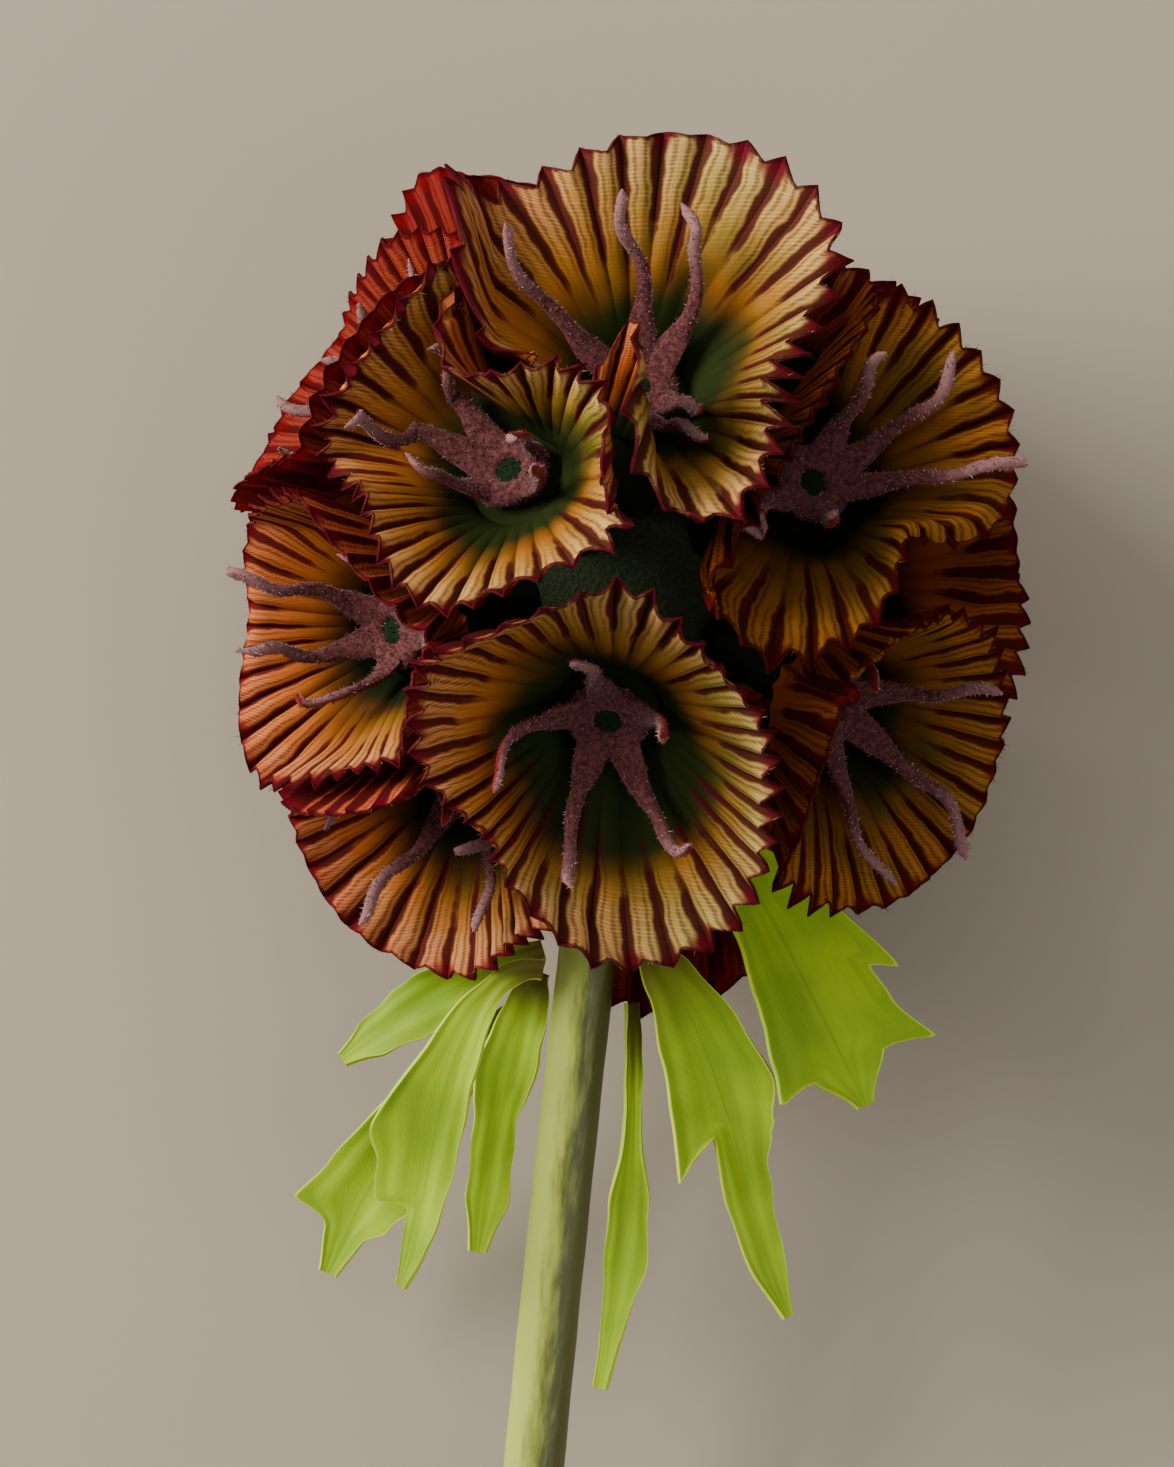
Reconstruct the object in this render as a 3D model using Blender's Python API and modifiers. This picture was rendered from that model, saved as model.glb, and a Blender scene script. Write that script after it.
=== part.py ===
"""A scabiosa seed head on its cut stem, lying on a surface.

The surface is z = 0 and the stem runs along Y, with the head at the +Y end. Cups of pleated cloth stand
all round a small ball, each facing out from the head's centre or a little aside, and each holds a star. A
cup is bent out of a flat toothed disc. It keeps to its own side of the boundaries between it and its
neighbours, so rims press against each other, and against the surface, without crossing. Sizes are in
millimetres until they reach Blender, which takes metres.
"""

import math
from dataclasses import dataclass

import bmesh
import bpy
from mathutils import Matrix, Vector

MM = 0.001
GAP = 0.3

# The head, from its centre outwards
BALL_RADIUS = 7.4
THROAT_AT = 16.3
THROAT_RADIUS = 3.4
CUP_DEPTH = 7.1
RIM_RADIUS = 12.6
FLARE = 0.75
HEAD_HEIGHT = THROAT_AT + CUP_DEPTH + 0.5

# Cloth and pleats
CLOTH = 0.6
PLEATS = 24
PLEAT_RELIEF = 0.5
TOOTH = 0.9
PLAIN_WAY = 0.2
TEETH_WAY = 0.8
SIDE_MARGIN = 0.55
NEIGHBOUR_ANGLE = 100.0
PRESS_SOFTNESS = 0.9
FLOOR_SOFTNESS = 0.4
TURN_UPS = (0.5, 0.25, 0.0, 0.0)
NECK_RADIUS = 2.1
NECK_SHOULDER = 1.6
NECK_TIP_RADIUS = 1.6

# Stars
STAR_SIDES = 10
STAR_MARGIN = 0.6
HUB_RADIUS = 2.7
HUB_TOP_RADIUS = 2.43
HUB_THICKNESS = 1.4
ARM_BASE = (1.6, 1.0)
ARM_TIP = (1.1, 0.8)
ARM_FROM = 0.06
ARM_CLEARANCE = 1.75
ARM_STATIONS = 5

# Stem
STEM_TOP_RADIUS = 1.95
STEM_END_RADIUS = 2.3
STEM_BEARING = 180.0
STEM_FALL = -10.0
STEM_LENGTH = 124.0
STEM_START = BALL_RADIUS + 2 * GAP
STEM_BOW = -0.7
STEM_SAG = -0.6
STEM_CLEARANCE = 2.7


@dataclass(frozen=True)
class Lobe:
    """A stretch of a rim that leaves the plain funnel: degrees round the cup, then millimetres."""

    at: float
    out: float
    up: float = 0.0
    width: float = 50.0


@dataclass(frozen=True)
class Arm:
    """One arm of a star: its bearing round the cup, reach up the wall, sideways bend and lift at the tip."""

    at: float
    reach: float = 0.85
    bend: float = 0.0
    lift: float = 1.5


@dataclass(frozen=True)
class Cup:
    """A cup that stands at a bearing, clockwise from +Y in the plan, and a height above the horizontal.

    It faces straight out, or where facing says, as another bearing and height.
    """

    name: str
    bearing: float
    height: float
    lobes: tuple[Lobe, ...] = ()
    arms: tuple[Arm, ...] = ()
    colour: str = "rust"
    facing: tuple[float, float] | None = None

    @property
    def axis(self):
        """Out from the head's centre, through the middle of the throat."""
        return direction(self.bearing, self.height)

    @property
    def face(self):
        """The way the cup opens."""
        return direction(*self.facing) if self.facing else self.axis


def direction(bearing, height):
    """The unit vector at a plan bearing clockwise from +Y and a height above the horizontal, in degrees."""
    b, h = math.radians(bearing), math.radians(height)
    return Vector((math.sin(b) * math.cos(h), math.cos(b) * math.cos(h), math.sin(h)))


def bezier(points, share):
    """A point of the Bezier curve on any number of control points."""
    points = [Vector(point) for point in points]
    while len(points) > 1:
        points = [a.lerp(b, share) for a, b in zip(points, points[1:])]
    return points[0]


def even_arms(first, twist=8.0, reach=0.85, lift=1.5):
    """Five arms a fifth of a turn apart, bent and lifted by turns so that no two are alike."""
    return tuple(
        Arm(
            first + 72 * number,
            reach + 0.06 * math.sin(2.1 * number + first),
            twist * math.cos(1.7 * number),
            lift + 0.5 * (number % 3),
        )
        for number in range(5)
    )


CUPS = (
    Cup(
        "top",
        -3,
        45,
        (Lobe(12, 4.0, 0.5, 42), Lobe(-62, 4.4, -2.0, 26), Lobe(52, 1.5, 0.0, 28), Lobe(102, -3.0, 0.0, 35),
         Lobe(156, 3.4, 0.0, 32), Lobe(-176, -2.0, 0.0, 22), Lobe(-120, -9.6, -4.5, 34)),
        (Arm(-2, 0.72, -16, 2.6), Arm(36, 0.62, -22, 3.6), Arm(-58, 0.75, 4, 3.2), Arm(120, 0.5, 10, 1.4),
         Arm(172, 0.45, 0, 2.0)),
        "olive",
        (-3, 58),
    ),
    Cup(
        "upper_left",
        -55,
        54,
        (Lobe(-60, 2.2, -1.0, 60), Lobe(-20, 4.5, -1.5, 26), Lobe(24, -4.0, 1.0, 28),
         Lobe(54, -3.5, 1.0, 35), Lobe(120, 2.0, 0.0, 38), Lobe(-130, -5.0, 1.0, 38)),
        (Arm(-50, 0.7, 0, 1.6), Arm(34, 0.75, 6, 2.6), Arm(-82, 1.0, -4, 1.4), Arm(112, 0.5, -10, 3.0),
         Arm(-135, 0.7, 6, 1.6)),
        "olive",
    ),
    Cup(
        "lower_middle",
        -177,
        56,
        (Lobe(-10, 2.0, 0.0, 25), Lobe(84, -1.5, 0.0, 40), Lobe(166, 3.6, -0.5, 40),
         Lobe(-130, -3.4, 0.5, 32), Lobe(-42, 2.2, 0.0, 25)),
        (Arm(-10, 0.6, 0, 2.0), Arm(62, 0.6, -20, 3.6), Arm(146, 0.75, -32, 3.4), Arm(206, 0.85, -14, 1.6),
         Arm(-78, 0.8, -34, 1.8)),
        "olive",
    ),
    Cup(
        "right",
        59,
        37,
        (Lobe(140, -5.5, 1.0, 26), Lobe(-136, 6.0, 0.0, 34), Lobe(-62, -4.0, 0.0, 36)),
        (Arm(58, 0.9, -8, 1.6), Arm(96, 0.95, -4, 1.8), Arm(160, 0.5, 0, 2.6), Arm(22, 0.65, 0, 3.0),
         Arm(-120, 0.4, 0, 1.6)),
        "brown",
        (40, 64),
    ),
    Cup(
        "lower_right",
        117,
        19,
        (Lobe(-76, 4.0, 0.0, 28), Lobe(0, -3.0, 0.0, 30), Lobe(60, -2.8, 0.0, 50)),
        (Arm(60, 1.0, -8, 2.4), Arm(118, 1.0, 10, 1.8), Arm(-104, 0.6, 0, 2.4), Arm(178, 0.9, -8, 1.8),
         Arm(-30, 0.7, 0, 1.6)),
        "brown",
        (113, 45),
    ),
    Cup(
        "left",
        -109,
        20,
        (Lobe(-80, -3.4, 0.0, 45), Lobe(160, -3.0, 0.0, 35), Lobe(85, 1.0, -3.5, 40)),
        (Arm(-58, 0.95, -8, 2.2), Arm(-112, 0.8, 20, 3.2), Arm(176, 0.6, 14, 3.6), Arm(20, 0.6, 0, 1.6),
         Arm(96, 0.35, 0, 0.8)),
        "rust",
        (-100, 45),
    ),
    Cup(
        "lower_left",
        -147,
        7,
        (Lobe(-75, -1.0, 0.0, 30), Lobe(-148, 3.0, 0.0, 38), Lobe(160, -3.0, 0.0, 35)),
        even_arms(-60),
        "rust",
        (-150, 34),
    ),
    Cup("upper_left_back", -60, 7, (Lobe(-90, -1.5, 0.0, 60),), even_arms(-40), "red", (-60, 16)),
    Cup("top_back", -27, -18, (Lobe(72, 2.0, 2.5, 26),), even_arms(10), "red"),
    Cup("right_back", 83, -18, (Lobe(90, -2.5, 0.0, 60),), even_arms(30), "brown"),
    Cup("bottom_back", 151, -43, (Lobe(180, 6.0, 0.0, 45),), even_arms(50), "red"),
    Cup("top_low", 26, -8, (Lobe(90, -1.0, 0.0, 60),), even_arms(0), "rust"),
    Cup("underside", 0, -90, (), even_arms(20, reach=0.45, lift=0.2), "rust"),
    Cup("left_back", -77, -38, (), even_arms(-20), "rust"),
    Cup("right_low", 36, -47, (), even_arms(44), "brown"),
    Cup("lower_left_back", -137, -40, (), even_arms(64), "rust"),
)


@dataclass(frozen=True)
class Bulge:
    """A stretch of a boundary: where along it, how wide, how far moved and leant towards the second cup."""

    at: float
    width: float
    out: float
    lean: float


@dataclass(frozen=True)
class Between:
    """How the boundary between two cups differs from the plane halfway between them.

    It is turned, leant so that the first cup overhangs the second, moved towards the second, or widened.
    """

    turn: float = 0.0
    lean: float = 0.0
    shift: float = 0.0
    widen: float = 0.0
    bulges: tuple[Bulge, ...] = ()


HALFWAY = Between()
LEAN_FROM = 15.0
BETWEEN = {
    ("top", "upper_left"): Between(
        turn=8, lean=-0.5, shift=0.4, bulges=(Bulge(4.0, 4.5, -0.4, 0.7), Bulge(-14.0, 7.0, -6.0, 0.3))
    ),
    ("top", "right"): Between(lean=-0.3),
    ("right", "lower_right"): Between(turn=10),
    ("right", "lower_middle"): Between(lean=-0.42),
    ("right", "upper_left"): Between(lean=-0.25),
    ("lower_right", "bottom_back"): Between(widen=0.9),
}


class Boundary:
    """The side of a gently bulging plane that a cup keeps behind."""

    def __init__(self, normal, offset, change=HALFWAY, middle=Vector(), side=1):
        self.normal = normal * side
        self.offset = offset * side
        self.side = side
        self.middle = middle
        self.tangent = middle.cross(normal)
        self.bulges = change.bulges

    def distance(self, point):
        """How far a point is past the boundary."""
        offset = self.offset
        along = point.dot(self.tangent)
        for bulge in self.bulges:
            share = math.exp(-(((along - bulge.at) / bulge.width) ** 2))
            lean = bulge.lean * (LEAN_FROM - point.dot(self.middle))
            offset += self.side * share * (bulge.out + lean)
        return point.dot(self.normal) - offset + SIDE_MARGIN


def boundary_between(cup, other):
    """The boundary that a cup keeps behind, between it and another cup."""
    swapped = (other.name, cup.name) in BETWEEN
    first, second = (other, cup) if swapped else (cup, other)
    change = BETWEEN.get((first.name, second.name), HALFWAY)
    middle = (first.axis + second.axis).normalized()
    normal = (second.axis - first.axis).normalized()
    normal = Matrix.Rotation(math.radians(change.turn), 3, middle) @ normal + change.lean * middle
    offset = change.lean * LEAN_FROM / normal.length + change.shift
    side = -1 if swapped else 1
    return Boundary(normal.normalized(), offset - side * change.widen, change, middle, side)


def limits_of(cup):
    """The boundaries that a cup stays behind: one for each near neighbour, and one beside the stem."""
    near = [
        boundary_between(cup, other)
        for other in CUPS
        if other is not cup and cup.axis.angle(other.axis) < math.radians(NEIGHBOUR_ANGLE)
    ]
    stem = direction(STEM_BEARING, STEM_FALL)
    aside = (stem * cup.axis.dot(stem) - cup.axis).normalized()
    return near + [Boundary(aside, SIDE_MARGIN - STEM_CLEARANCE)]


def pressed(distance, softness):
    """A distance past a plane, eased so that it nears the plane and never passes it."""
    if distance < -softness:
        return distance
    return -softness * math.exp(-(distance + softness) / softness)


def kept_in(point, axis, limits, extra=0.0):
    """A point from the head's centre, pressed back behind each boundary. The part pressed back turns up."""
    for turn_up in TURN_UPS:
        for limit in limits:
            distance = limit.distance(point) + extra
            back = distance - pressed(distance, PRESS_SOFTNESS)
            point = point - limit.normal * back + axis * (turn_up * back)
    floor = CLOTH / 2 + extra / 2 - HEAD_HEIGHT
    above = point.z - floor
    point.z = floor - pressed(-above, FLOOR_SOFTNESS)
    return point


class CupShape:
    """The surface of one cup, as a formula of the bearing round it and of the way from throat to rim."""

    def __init__(self, cup, pleats=PLEATS, relief=PLEAT_RELIEF):
        self.cup = cup
        self.axis = cup.axis
        self.face = cup.face
        self.throat = cup.axis * THROAT_AT
        self.pleats = pleats
        self.relief = relief
        self.limits = limits_of(cup)
        upward = Vector((0, 1, 0))
        self.up = (upward - self.face * upward.dot(self.face)).normalized()
        self.side = self.up.cross(self.face)

    def spoke(self, theta):
        """The unit vector across the cup at a bearing round it, in degrees."""
        t = math.radians(theta)
        return self.side * math.sin(t) + self.up * math.cos(t)

    def rim(self, theta):
        """The rim's radius and height above the throat at a bearing."""
        out, up = RIM_RADIUS, CUP_DEPTH
        for lobe in self.cup.lobes:
            away = (theta - lobe.at + 180) % 360 - 180
            if abs(away) < 2 * lobe.width:
                share = 0.5 + 0.5 * math.cos(math.pi * away / (2 * lobe.width))
                out += lobe.out * share**1.5
                up += lobe.up * share**1.5
        return out, up

    def point(self, theta, way, pleated=True, extra=0.0):
        """The middle of the cloth, from the head's centre. way is 0 at the throat and 1 at the rim."""
        out, up = self.rim(theta)
        wave = math.cos(math.radians(theta * self.pleats)) if pleated else 0.0
        tooth = TOOTH / 2 * wave * max(0.0, way - TEETH_WAY) / (1 - TEETH_WAY)
        radius = THROAT_RADIUS + (out - THROAT_RADIUS) * way + tooth
        pleat = self.relief * wave * max(0.0, way - PLAIN_WAY) / (1 - PLAIN_WAY)
        lift = up * max(way, 0.0) ** FLARE + pleat
        point = self.throat + self.face * lift + self.spoke(theta) * radius
        return kept_in(point, self.face, self.limits, extra)

    def inward(self, theta, way):
        """The unit vector that leaves the cup's inner face."""
        step = 0.04
        along = self.point(theta, way + step, False) - self.point(theta, way - step, False)
        round_it = self.point(theta + 4, way, False) - self.point(theta - 4, way, False)
        normal = round_it.cross(along).normalized()
        return normal if normal.dot(self.face) > 0 else -normal


def clear_scene():
    """Removes what the file starts with."""
    for obj in list(bpy.data.objects):
        bpy.data.objects.remove(obj, do_unlink=True)


def material(name, colour, roughness=0.85):
    """A Principled material with a plain colour."""
    made = bpy.data.materials.new(name)
    made.use_nodes = True
    shader = made.node_tree.nodes["Principled BSDF"]
    shader.inputs["Base Color"].default_value = (*colour, 1)
    shader.inputs["Roughness"].default_value = roughness
    shader.inputs["Metallic"].default_value = 0.0
    made.diffuse_color = (*colour, 1)
    return made


def make_materials():
    """Every finish of the head, by name."""
    return {
        "olive": material("cloth_olive", (0.42, 0.33, 0.10)),
        "rust": material("cloth_rust", (0.46, 0.20, 0.07)),
        "brown": material("cloth_brown", (0.34, 0.19, 0.07)),
        "red": material("cloth_red", (0.42, 0.09, 0.05)),
        "mauve": material("flock_mauve", (0.25, 0.11, 0.11), 1.0),
        "leaf": material("leaf_green", (0.36, 0.50, 0.07)),
        "ball": material("ball_green", (0.06, 0.08, 0.03), 1.0),
        "stem": material("stem_green", (0.36, 0.40, 0.16), 0.5),
    }


def add_mesh(name, mesh, finish, collection, head):
    """Puts a bmesh whose points are millimetres from the head's centre in the collection, as one object."""
    mesh.transform(Matrix.Scale(MM, 4))
    data = bpy.data.meshes.new(name)
    mesh.to_mesh(data)
    mesh.free()
    data.materials.append(finish)
    obj = bpy.data.objects.new(name, data)
    collection.objects.link(obj)
    obj.parent = head
    return obj


def next_ring(mesh, ring, radius, halve):
    """Extrudes a ring of edges to a larger radius, and halves its edges if asked. Returns the new edges."""
    grown = bmesh.ops.extrude_edge_only(mesh, edges=ring)["geom"]
    edges = [item for item in grown if isinstance(item, bmesh.types.BMEdge)]
    new = [edge for edge in edges if all(vert in grown for vert in edge.verts)]
    if halve:
        bmesh.ops.subdivide_edges(mesh, edges=new, cuts=1)
        new = [edge for edge in mesh.edges if edge.is_boundary]
    for vert in {vert for edge in new for vert in edge.verts}:
        vert.co = vert.co.normalized() * radius
    return new


RING_WAYS = (0.0, 0.28, 0.6, 1.0)
FLAT_STEP = 1.0


def flat_disc():
    """A flat disc of rings, with more points in each ring towards the rim. A ring's radius is its number."""
    mesh = bmesh.new()
    bmesh.ops.create_circle(mesh, cap_ends=True, segments=PLEATS // 2, radius=FLAT_STEP)
    ring = [edge for edge in mesh.edges if edge.is_boundary]
    for number, halve in ((2, True), (3, True), (4, False)):
        ring = next_ring(mesh, ring, number * FLAT_STEP, halve)
    return mesh


def make_cup(cup, finish, collection, head):
    """A pleated, toothed funnel on a narrow neck that stands on the ball."""
    shape = CupShape(cup)
    mesh = flat_disc()
    for vert in mesh.verts:
        number = round(vert.co.length / FLAT_STEP)
        theta = math.degrees(math.atan2(vert.co.x, vert.co.y))
        vert.co = shape.point(theta, RING_WAYS[number - 1])
    bmesh.ops.triangulate(mesh, faces=mesh.faces)
    bmesh.ops.recalc_face_normals(mesh, faces=mesh.faces)
    middle = min(mesh.faces, key=lambda face: (face.calc_center_median() - shape.throat).length)
    if middle.normal.dot(shape.face) < 0:
        bmesh.ops.reverse_faces(mesh, faces=mesh.faces)
    obj = add_mesh(cup.name + "_cup", mesh, finish, collection, head)
    shell = obj.modifiers.new("cloth", "SOLIDIFY")
    shell.thickness = CLOTH * MM
    shell.offset = 0.0
    apply_modifiers(obj)
    add_neck(obj, shape)
    return obj


def apply_modifiers(obj):
    """Gives an object the mesh that its modifiers make."""
    graph = bpy.context.evaluated_depsgraph_get()
    data = bpy.data.meshes.new_from_object(obj.evaluated_get(graph))
    obj.modifiers.clear()
    obj.data = data


def add_neck(obj, shape):
    """Draws the throat's underside down into a neck that ends just above the ball."""
    mesh = bmesh.new()
    mesh.from_mesh(obj.data)
    mesh.faces.ensure_lookup_table()
    axis = shape.axis
    under = [
        face
        for face in mesh.faces
        if face.normal.dot(shape.face) < -0.9
        and all((v.co / MM - shape.throat).length < THROAT_RADIUS + CLOTH for v in face.verts)
    ]
    for height, radius in ((THROAT_AT - NECK_SHOULDER, NECK_RADIUS), (BALL_RADIUS + GAP, NECK_TIP_RADIUS)):
        grown = bmesh.ops.extrude_face_region(mesh, geom=under)["geom"]
        bmesh.ops.delete(mesh, geom=under, context="FACES_ONLY")
        under = [item for item in grown if isinstance(item, bmesh.types.BMFace)]
        for vert in {vert for face in under for vert in face.verts}:
            across = vert.co - axis * vert.co.dot(axis)
            vert.co = axis * height * MM + across.normalized() * radius * MM
    mesh.to_mesh(obj.data)
    mesh.free()


def over_wall(shape, arm, way):
    """A point above the cup's wall, at a way from 0 to 1 along an arm."""
    wall = ARM_FROM + (arm.reach - ARM_FROM) * way
    theta = arm.at + arm.bend * way**2
    point = shape.point(theta, wall, False) + shape.inward(theta, wall) * (ARM_CLEARANCE + arm.lift * way**2)
    return kept_in(point, shape.face, shape.limits, STAR_MARGIN)


def arm_sections(shape, arm, start):
    """The centre, thickness direction and width direction of each section of an arm from the hub's side."""
    ways = [station / (ARM_STATIONS - 1) for station in range(ARM_STATIONS)]
    centres = [start] + [over_wall(shape, arm, way) for way in ways[1:]]
    side = shape.face.cross(shape.spoke(arm.at))
    for number in range(1, ARM_STATIONS):
        along = centres[min(number + 1, ARM_STATIONS - 1)] - centres[number - 1]
        thick = along.cross(side).normalized()
        across = thick.cross(along).normalized()
        yield ways[number], centres[number], thick, across


def make_star(cup, finish, collection, head):
    """A hub with twice as many sides as arms, and an arm drawn out of every second side."""
    shape = CupShape(cup)
    mesh = bmesh.new()
    bmesh.ops.create_cone(
        mesh,
        cap_ends=True,
        segments=STAR_SIDES,
        radius1=HUB_RADIUS,
        radius2=HUB_TOP_RADIUS,
        depth=HUB_THICKNESS,
    )
    sides = sorted(
        (face for face in mesh.faces if abs(face.normal.z) < 0.5),
        key=lambda face: math.atan2(face.normal.x, face.normal.y) % math.tau,
    )
    arms = sorted(cup.arms, key=lambda arm: arm.at % 360)
    first = sum(arm.at % 360 - 360 / len(arms) * number for number, arm in enumerate(arms)) / len(arms)
    turn = math.radians(first) - math.atan2(sides[0].normal.x, sides[0].normal.y) % math.tau
    for vert in mesh.verts:
        theta = math.degrees(math.atan2(vert.co.x, vert.co.y) + turn)
        height = CLOTH / 2 + GAP + HUB_THICKNESS / 2 + vert.co.z
        vert.co = shape.throat + shape.face * height + shape.spoke(theta) * vert.co.xy.length
    for face, arm in zip(sides[::2], arms):
        draw_arm(mesh, face, shape, arm)
    bmesh.ops.recalc_face_normals(mesh, faces=mesh.faces)
    return add_mesh(cup.name + "_star", mesh, finish, collection, head)


def draw_arm(mesh, face, shape, arm):
    """Extrudes one side of the hub, station by station, along an arm."""
    start = face.calc_center_median()
    side = shape.face.cross(shape.spoke(arm.at))
    corners = [
        tuple(math.copysign(0.5, (vert.co - start).dot(way)) for way in (shape.face, side))
        for vert in face.verts
    ]
    for way, centre, thick, across in arm_sections(shape, arm, start):
        face = bmesh.ops.extrude_discrete_faces(mesh, faces=[face])["faces"][0]
        width = ARM_BASE[0] + (ARM_TIP[0] - ARM_BASE[0]) * way
        depth = ARM_BASE[1] + (ARM_TIP[1] - ARM_BASE[1]) * way
        for (height, side), vert in zip(corners, face.verts):
            vert.co = centre + thick * (height * depth) + across * (side * width)


def make_ball(finish, collection, head):
    """The ball that the cups stand on."""
    mesh = bmesh.new()
    bmesh.ops.create_uvsphere(mesh, u_segments=20, v_segments=12, radius=BALL_RADIUS)
    return add_mesh("ball", mesh, finish, collection, head)


def stem_line(steps=10):
    """Points down the middle of the stem, from just below the ball to the cut end, with a slight sag."""
    along = direction(STEM_BEARING, STEM_FALL)
    for step in range(steps + 1):
        share = step / steps
        point = along * (STEM_START + (STEM_LENGTH - STEM_START) * share)
        yield point + Vector((STEM_BOW, 0, STEM_SAG)) * math.sin(math.pi * share)


def make_stem(finish, collection, head):
    """A round stem as a bevelled poly curve."""
    points = list(stem_line())
    curve = bpy.data.curves.new("stem", "CURVE")
    curve.dimensions = "3D"
    curve.bevel_depth = STEM_TOP_RADIUS * MM
    curve.bevel_resolution = 3
    curve.use_fill_caps = True
    spline = curve.splines.new("POLY")
    spline.points.add(len(points) - 1)
    for number, (at, point) in enumerate(zip(spline.points, points)):
        at.co = (*(point * MM), 1)
        at.radius = 1 + (STEM_END_RADIUS / STEM_TOP_RADIUS - 1) * number / (len(points) - 1)
    curve.materials.append(finish)
    obj = bpy.data.objects.new("stem", curve)
    collection.objects.link(obj)
    obj.parent = head
    return obj


@dataclass(frozen=True)
class Leaf:
    """A lobed blade along a path, in millimetres from the head's centre.

    Each station is a share of the way, then the blade's half width on its left and on its right. Lobes
    lean forward by sweep, a share of the way, and the blade folds up along its rib.
    """

    name: str
    path: tuple[tuple[float, float, float], ...]
    stations: tuple[tuple[float, float, float], ...]
    faces: tuple[tuple[float, float, float], tuple[float, float, float]]
    sweep: float = 0.05
    fold: float = 0.15


LEAVES = (
    Leaf(
        "broad_right_leaf",
        ((3.4, -11.5, -1.5), (9.0, -17.5, -1.6), (14.0, -25.0, -3.0), (19.6, -34.5, -4.5)),
        ((0.0, 0.7, 0.7), (0.3, 1.6, 1.6), (0.45, 4.4, 3.0), (0.58, 6.4, 3.9), (0.63, 4.6, 4.2),
         (0.73, 4.9, 4.8), (0.84, 6.4, 5.4), (0.89, 2.8, 2.6), (1.0, 0.7, 0.5)),
        ((0.43, 0.19, 0.88), (0.3, -0.1, 0.95)),
    ),
    Leaf(
        "long_right_leaf",
        ((3.0, -24.5, -2.8), (7.0, -28.0, -1.8), (11.5, -36.0, -3.0), (11.5, -42.0, -4.5),
         (15.8, -49.5, -5.5)),
        ((0.0, 0.7, 0.7), (0.14, 1.9, 1.8), (0.27, 2.9, 3.0), (0.38, 3.7, 3.9), (0.5, 3.0, 4.8),
         (0.53, 2.6, 1.4), (0.64, 1.8, 1.8), (0.76, 1.4, 1.6), (0.88, 1.2, 1.3), (1.0, 0.4, 0.4)),
        ((0.1, 0.2, 0.97), (0.3, 0.0, 0.95)),
    ),
    Leaf(
        "narrow_right_leaf",
        ((3.0, -29.0, -5.6), (3.9, -35.0, -5.8), (4.6, -44.0, -6.5), (3.4, -56.0, -9.0)),
        ((0.0, 0.6, 0.6), (0.4, 0.6, 0.6), (0.58, 1.5, 1.3), (0.72, 1.8, 1.2), (0.85, 1.0, 0.8),
         (1.0, 0.5, 0.5)),
        ((0.6, 0.0, 0.8), (-0.3, 0.0, 0.95)),
    ),
    Leaf(
        "twisted_left_leaf",
        ((-3.3, -27.2, -2.6), (-8.0, -26.5, -0.6), (-10.5, -36.0, -3.0), (-9.0, -43.0, -4.5),
         (-11.0, -50.0, -6.0)),
        ((0.0, 0.7, 0.7), (0.2, 0.9, 0.9), (0.38, 1.6, 2.0), (0.52, 1.8, 4.4), (0.64, 1.8, 3.6),
         (0.76, 1.6, 3.4), (0.8, 1.5, 1.0), (0.9, 1.1, 0.9), (1.0, 0.4, 0.4)),
        ((0.3, 0.2, 0.93), (-0.4, 0.0, 0.9)),
    ),
    Leaf(
        "pale_left_leaf",
        ((-3.5, -27.5, -6.4), (-4.6, -31.0, -7.4), (-5.5, -38.0, -8.6), (-6.0, -47.5, -10.5)),
        ((0.0, 0.7, 0.7), (0.2, 1.6, 1.6), (0.45, 1.8, 2.4), (0.6, 1.2, 1.8), (0.85, 1.6, 1.4),
         (1.0, 0.6, 0.6)),
        ((0.0, 0.2, 0.97), (0.0, 0.1, 0.99)),
    ),
    Leaf(
        "far_left_leaf",
        ((-3.4, -29.6, -9.0), (-7.5, -32.0, -11.5), (-13.0, -40.0, -14.0), (-16.5, -50.5, -16.5)),
        ((0.0, 0.7, 0.7), (0.2, 1.0, 1.0), (0.5, 2.6, 2.2), (0.72, 3.4, 3.4), (0.82, 2.6, 4.4),
         (0.9, 1.4, 1.6), (1.0, 0.7, 0.6)),
        ((0.0, 0.2, 0.97), (0.0, 0.1, 0.99)),
    ),
    Leaf(
        "olive_left_leaf",
        ((-3.4, -26.0, -8.5), (-7.0, -27.5, -8.8), (-11.5, -30.5, -9.2), (-16.6, -35.0, -9.6)),
        ((0.0, 0.7, 0.7), (0.3, 1.5, 1.5), (0.6, 2.1, 2.1), (0.85, 1.5, 1.5), (1.0, 0.5, 0.5)),
        ((0.0, 0.3, 0.95), (0.0, 0.3, 0.95)),
    ),
)


LEAF_COLUMNS = 4
LEAF_HEIGHT = 0.4


def leaf_point(leaf, share, left, right, across):
    """A point of a leaf's middle surface: across runs from -1 at the left edge to 1 at the right."""
    half = right if across > 0 else left
    share = share + leaf.sweep * abs(across) ** 2 * math.sin(math.pi * share)
    centre = bezier(leaf.path, share)
    tangent = (bezier(leaf.path, share + 0.02) - bezier(leaf.path, share - 0.02)).normalized()
    faces = Vector(leaf.faces[0]).lerp(Vector(leaf.faces[1]), share).normalized()
    aside = tangent.cross(faces).normalized()
    faces = aside.cross(tangent)
    point = centre + aside * (half * across) + faces * (leaf.fold * half * abs(across))
    point.z = max(point.z, LEAF_HEIGHT - HEAD_HEIGHT)
    return point


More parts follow.
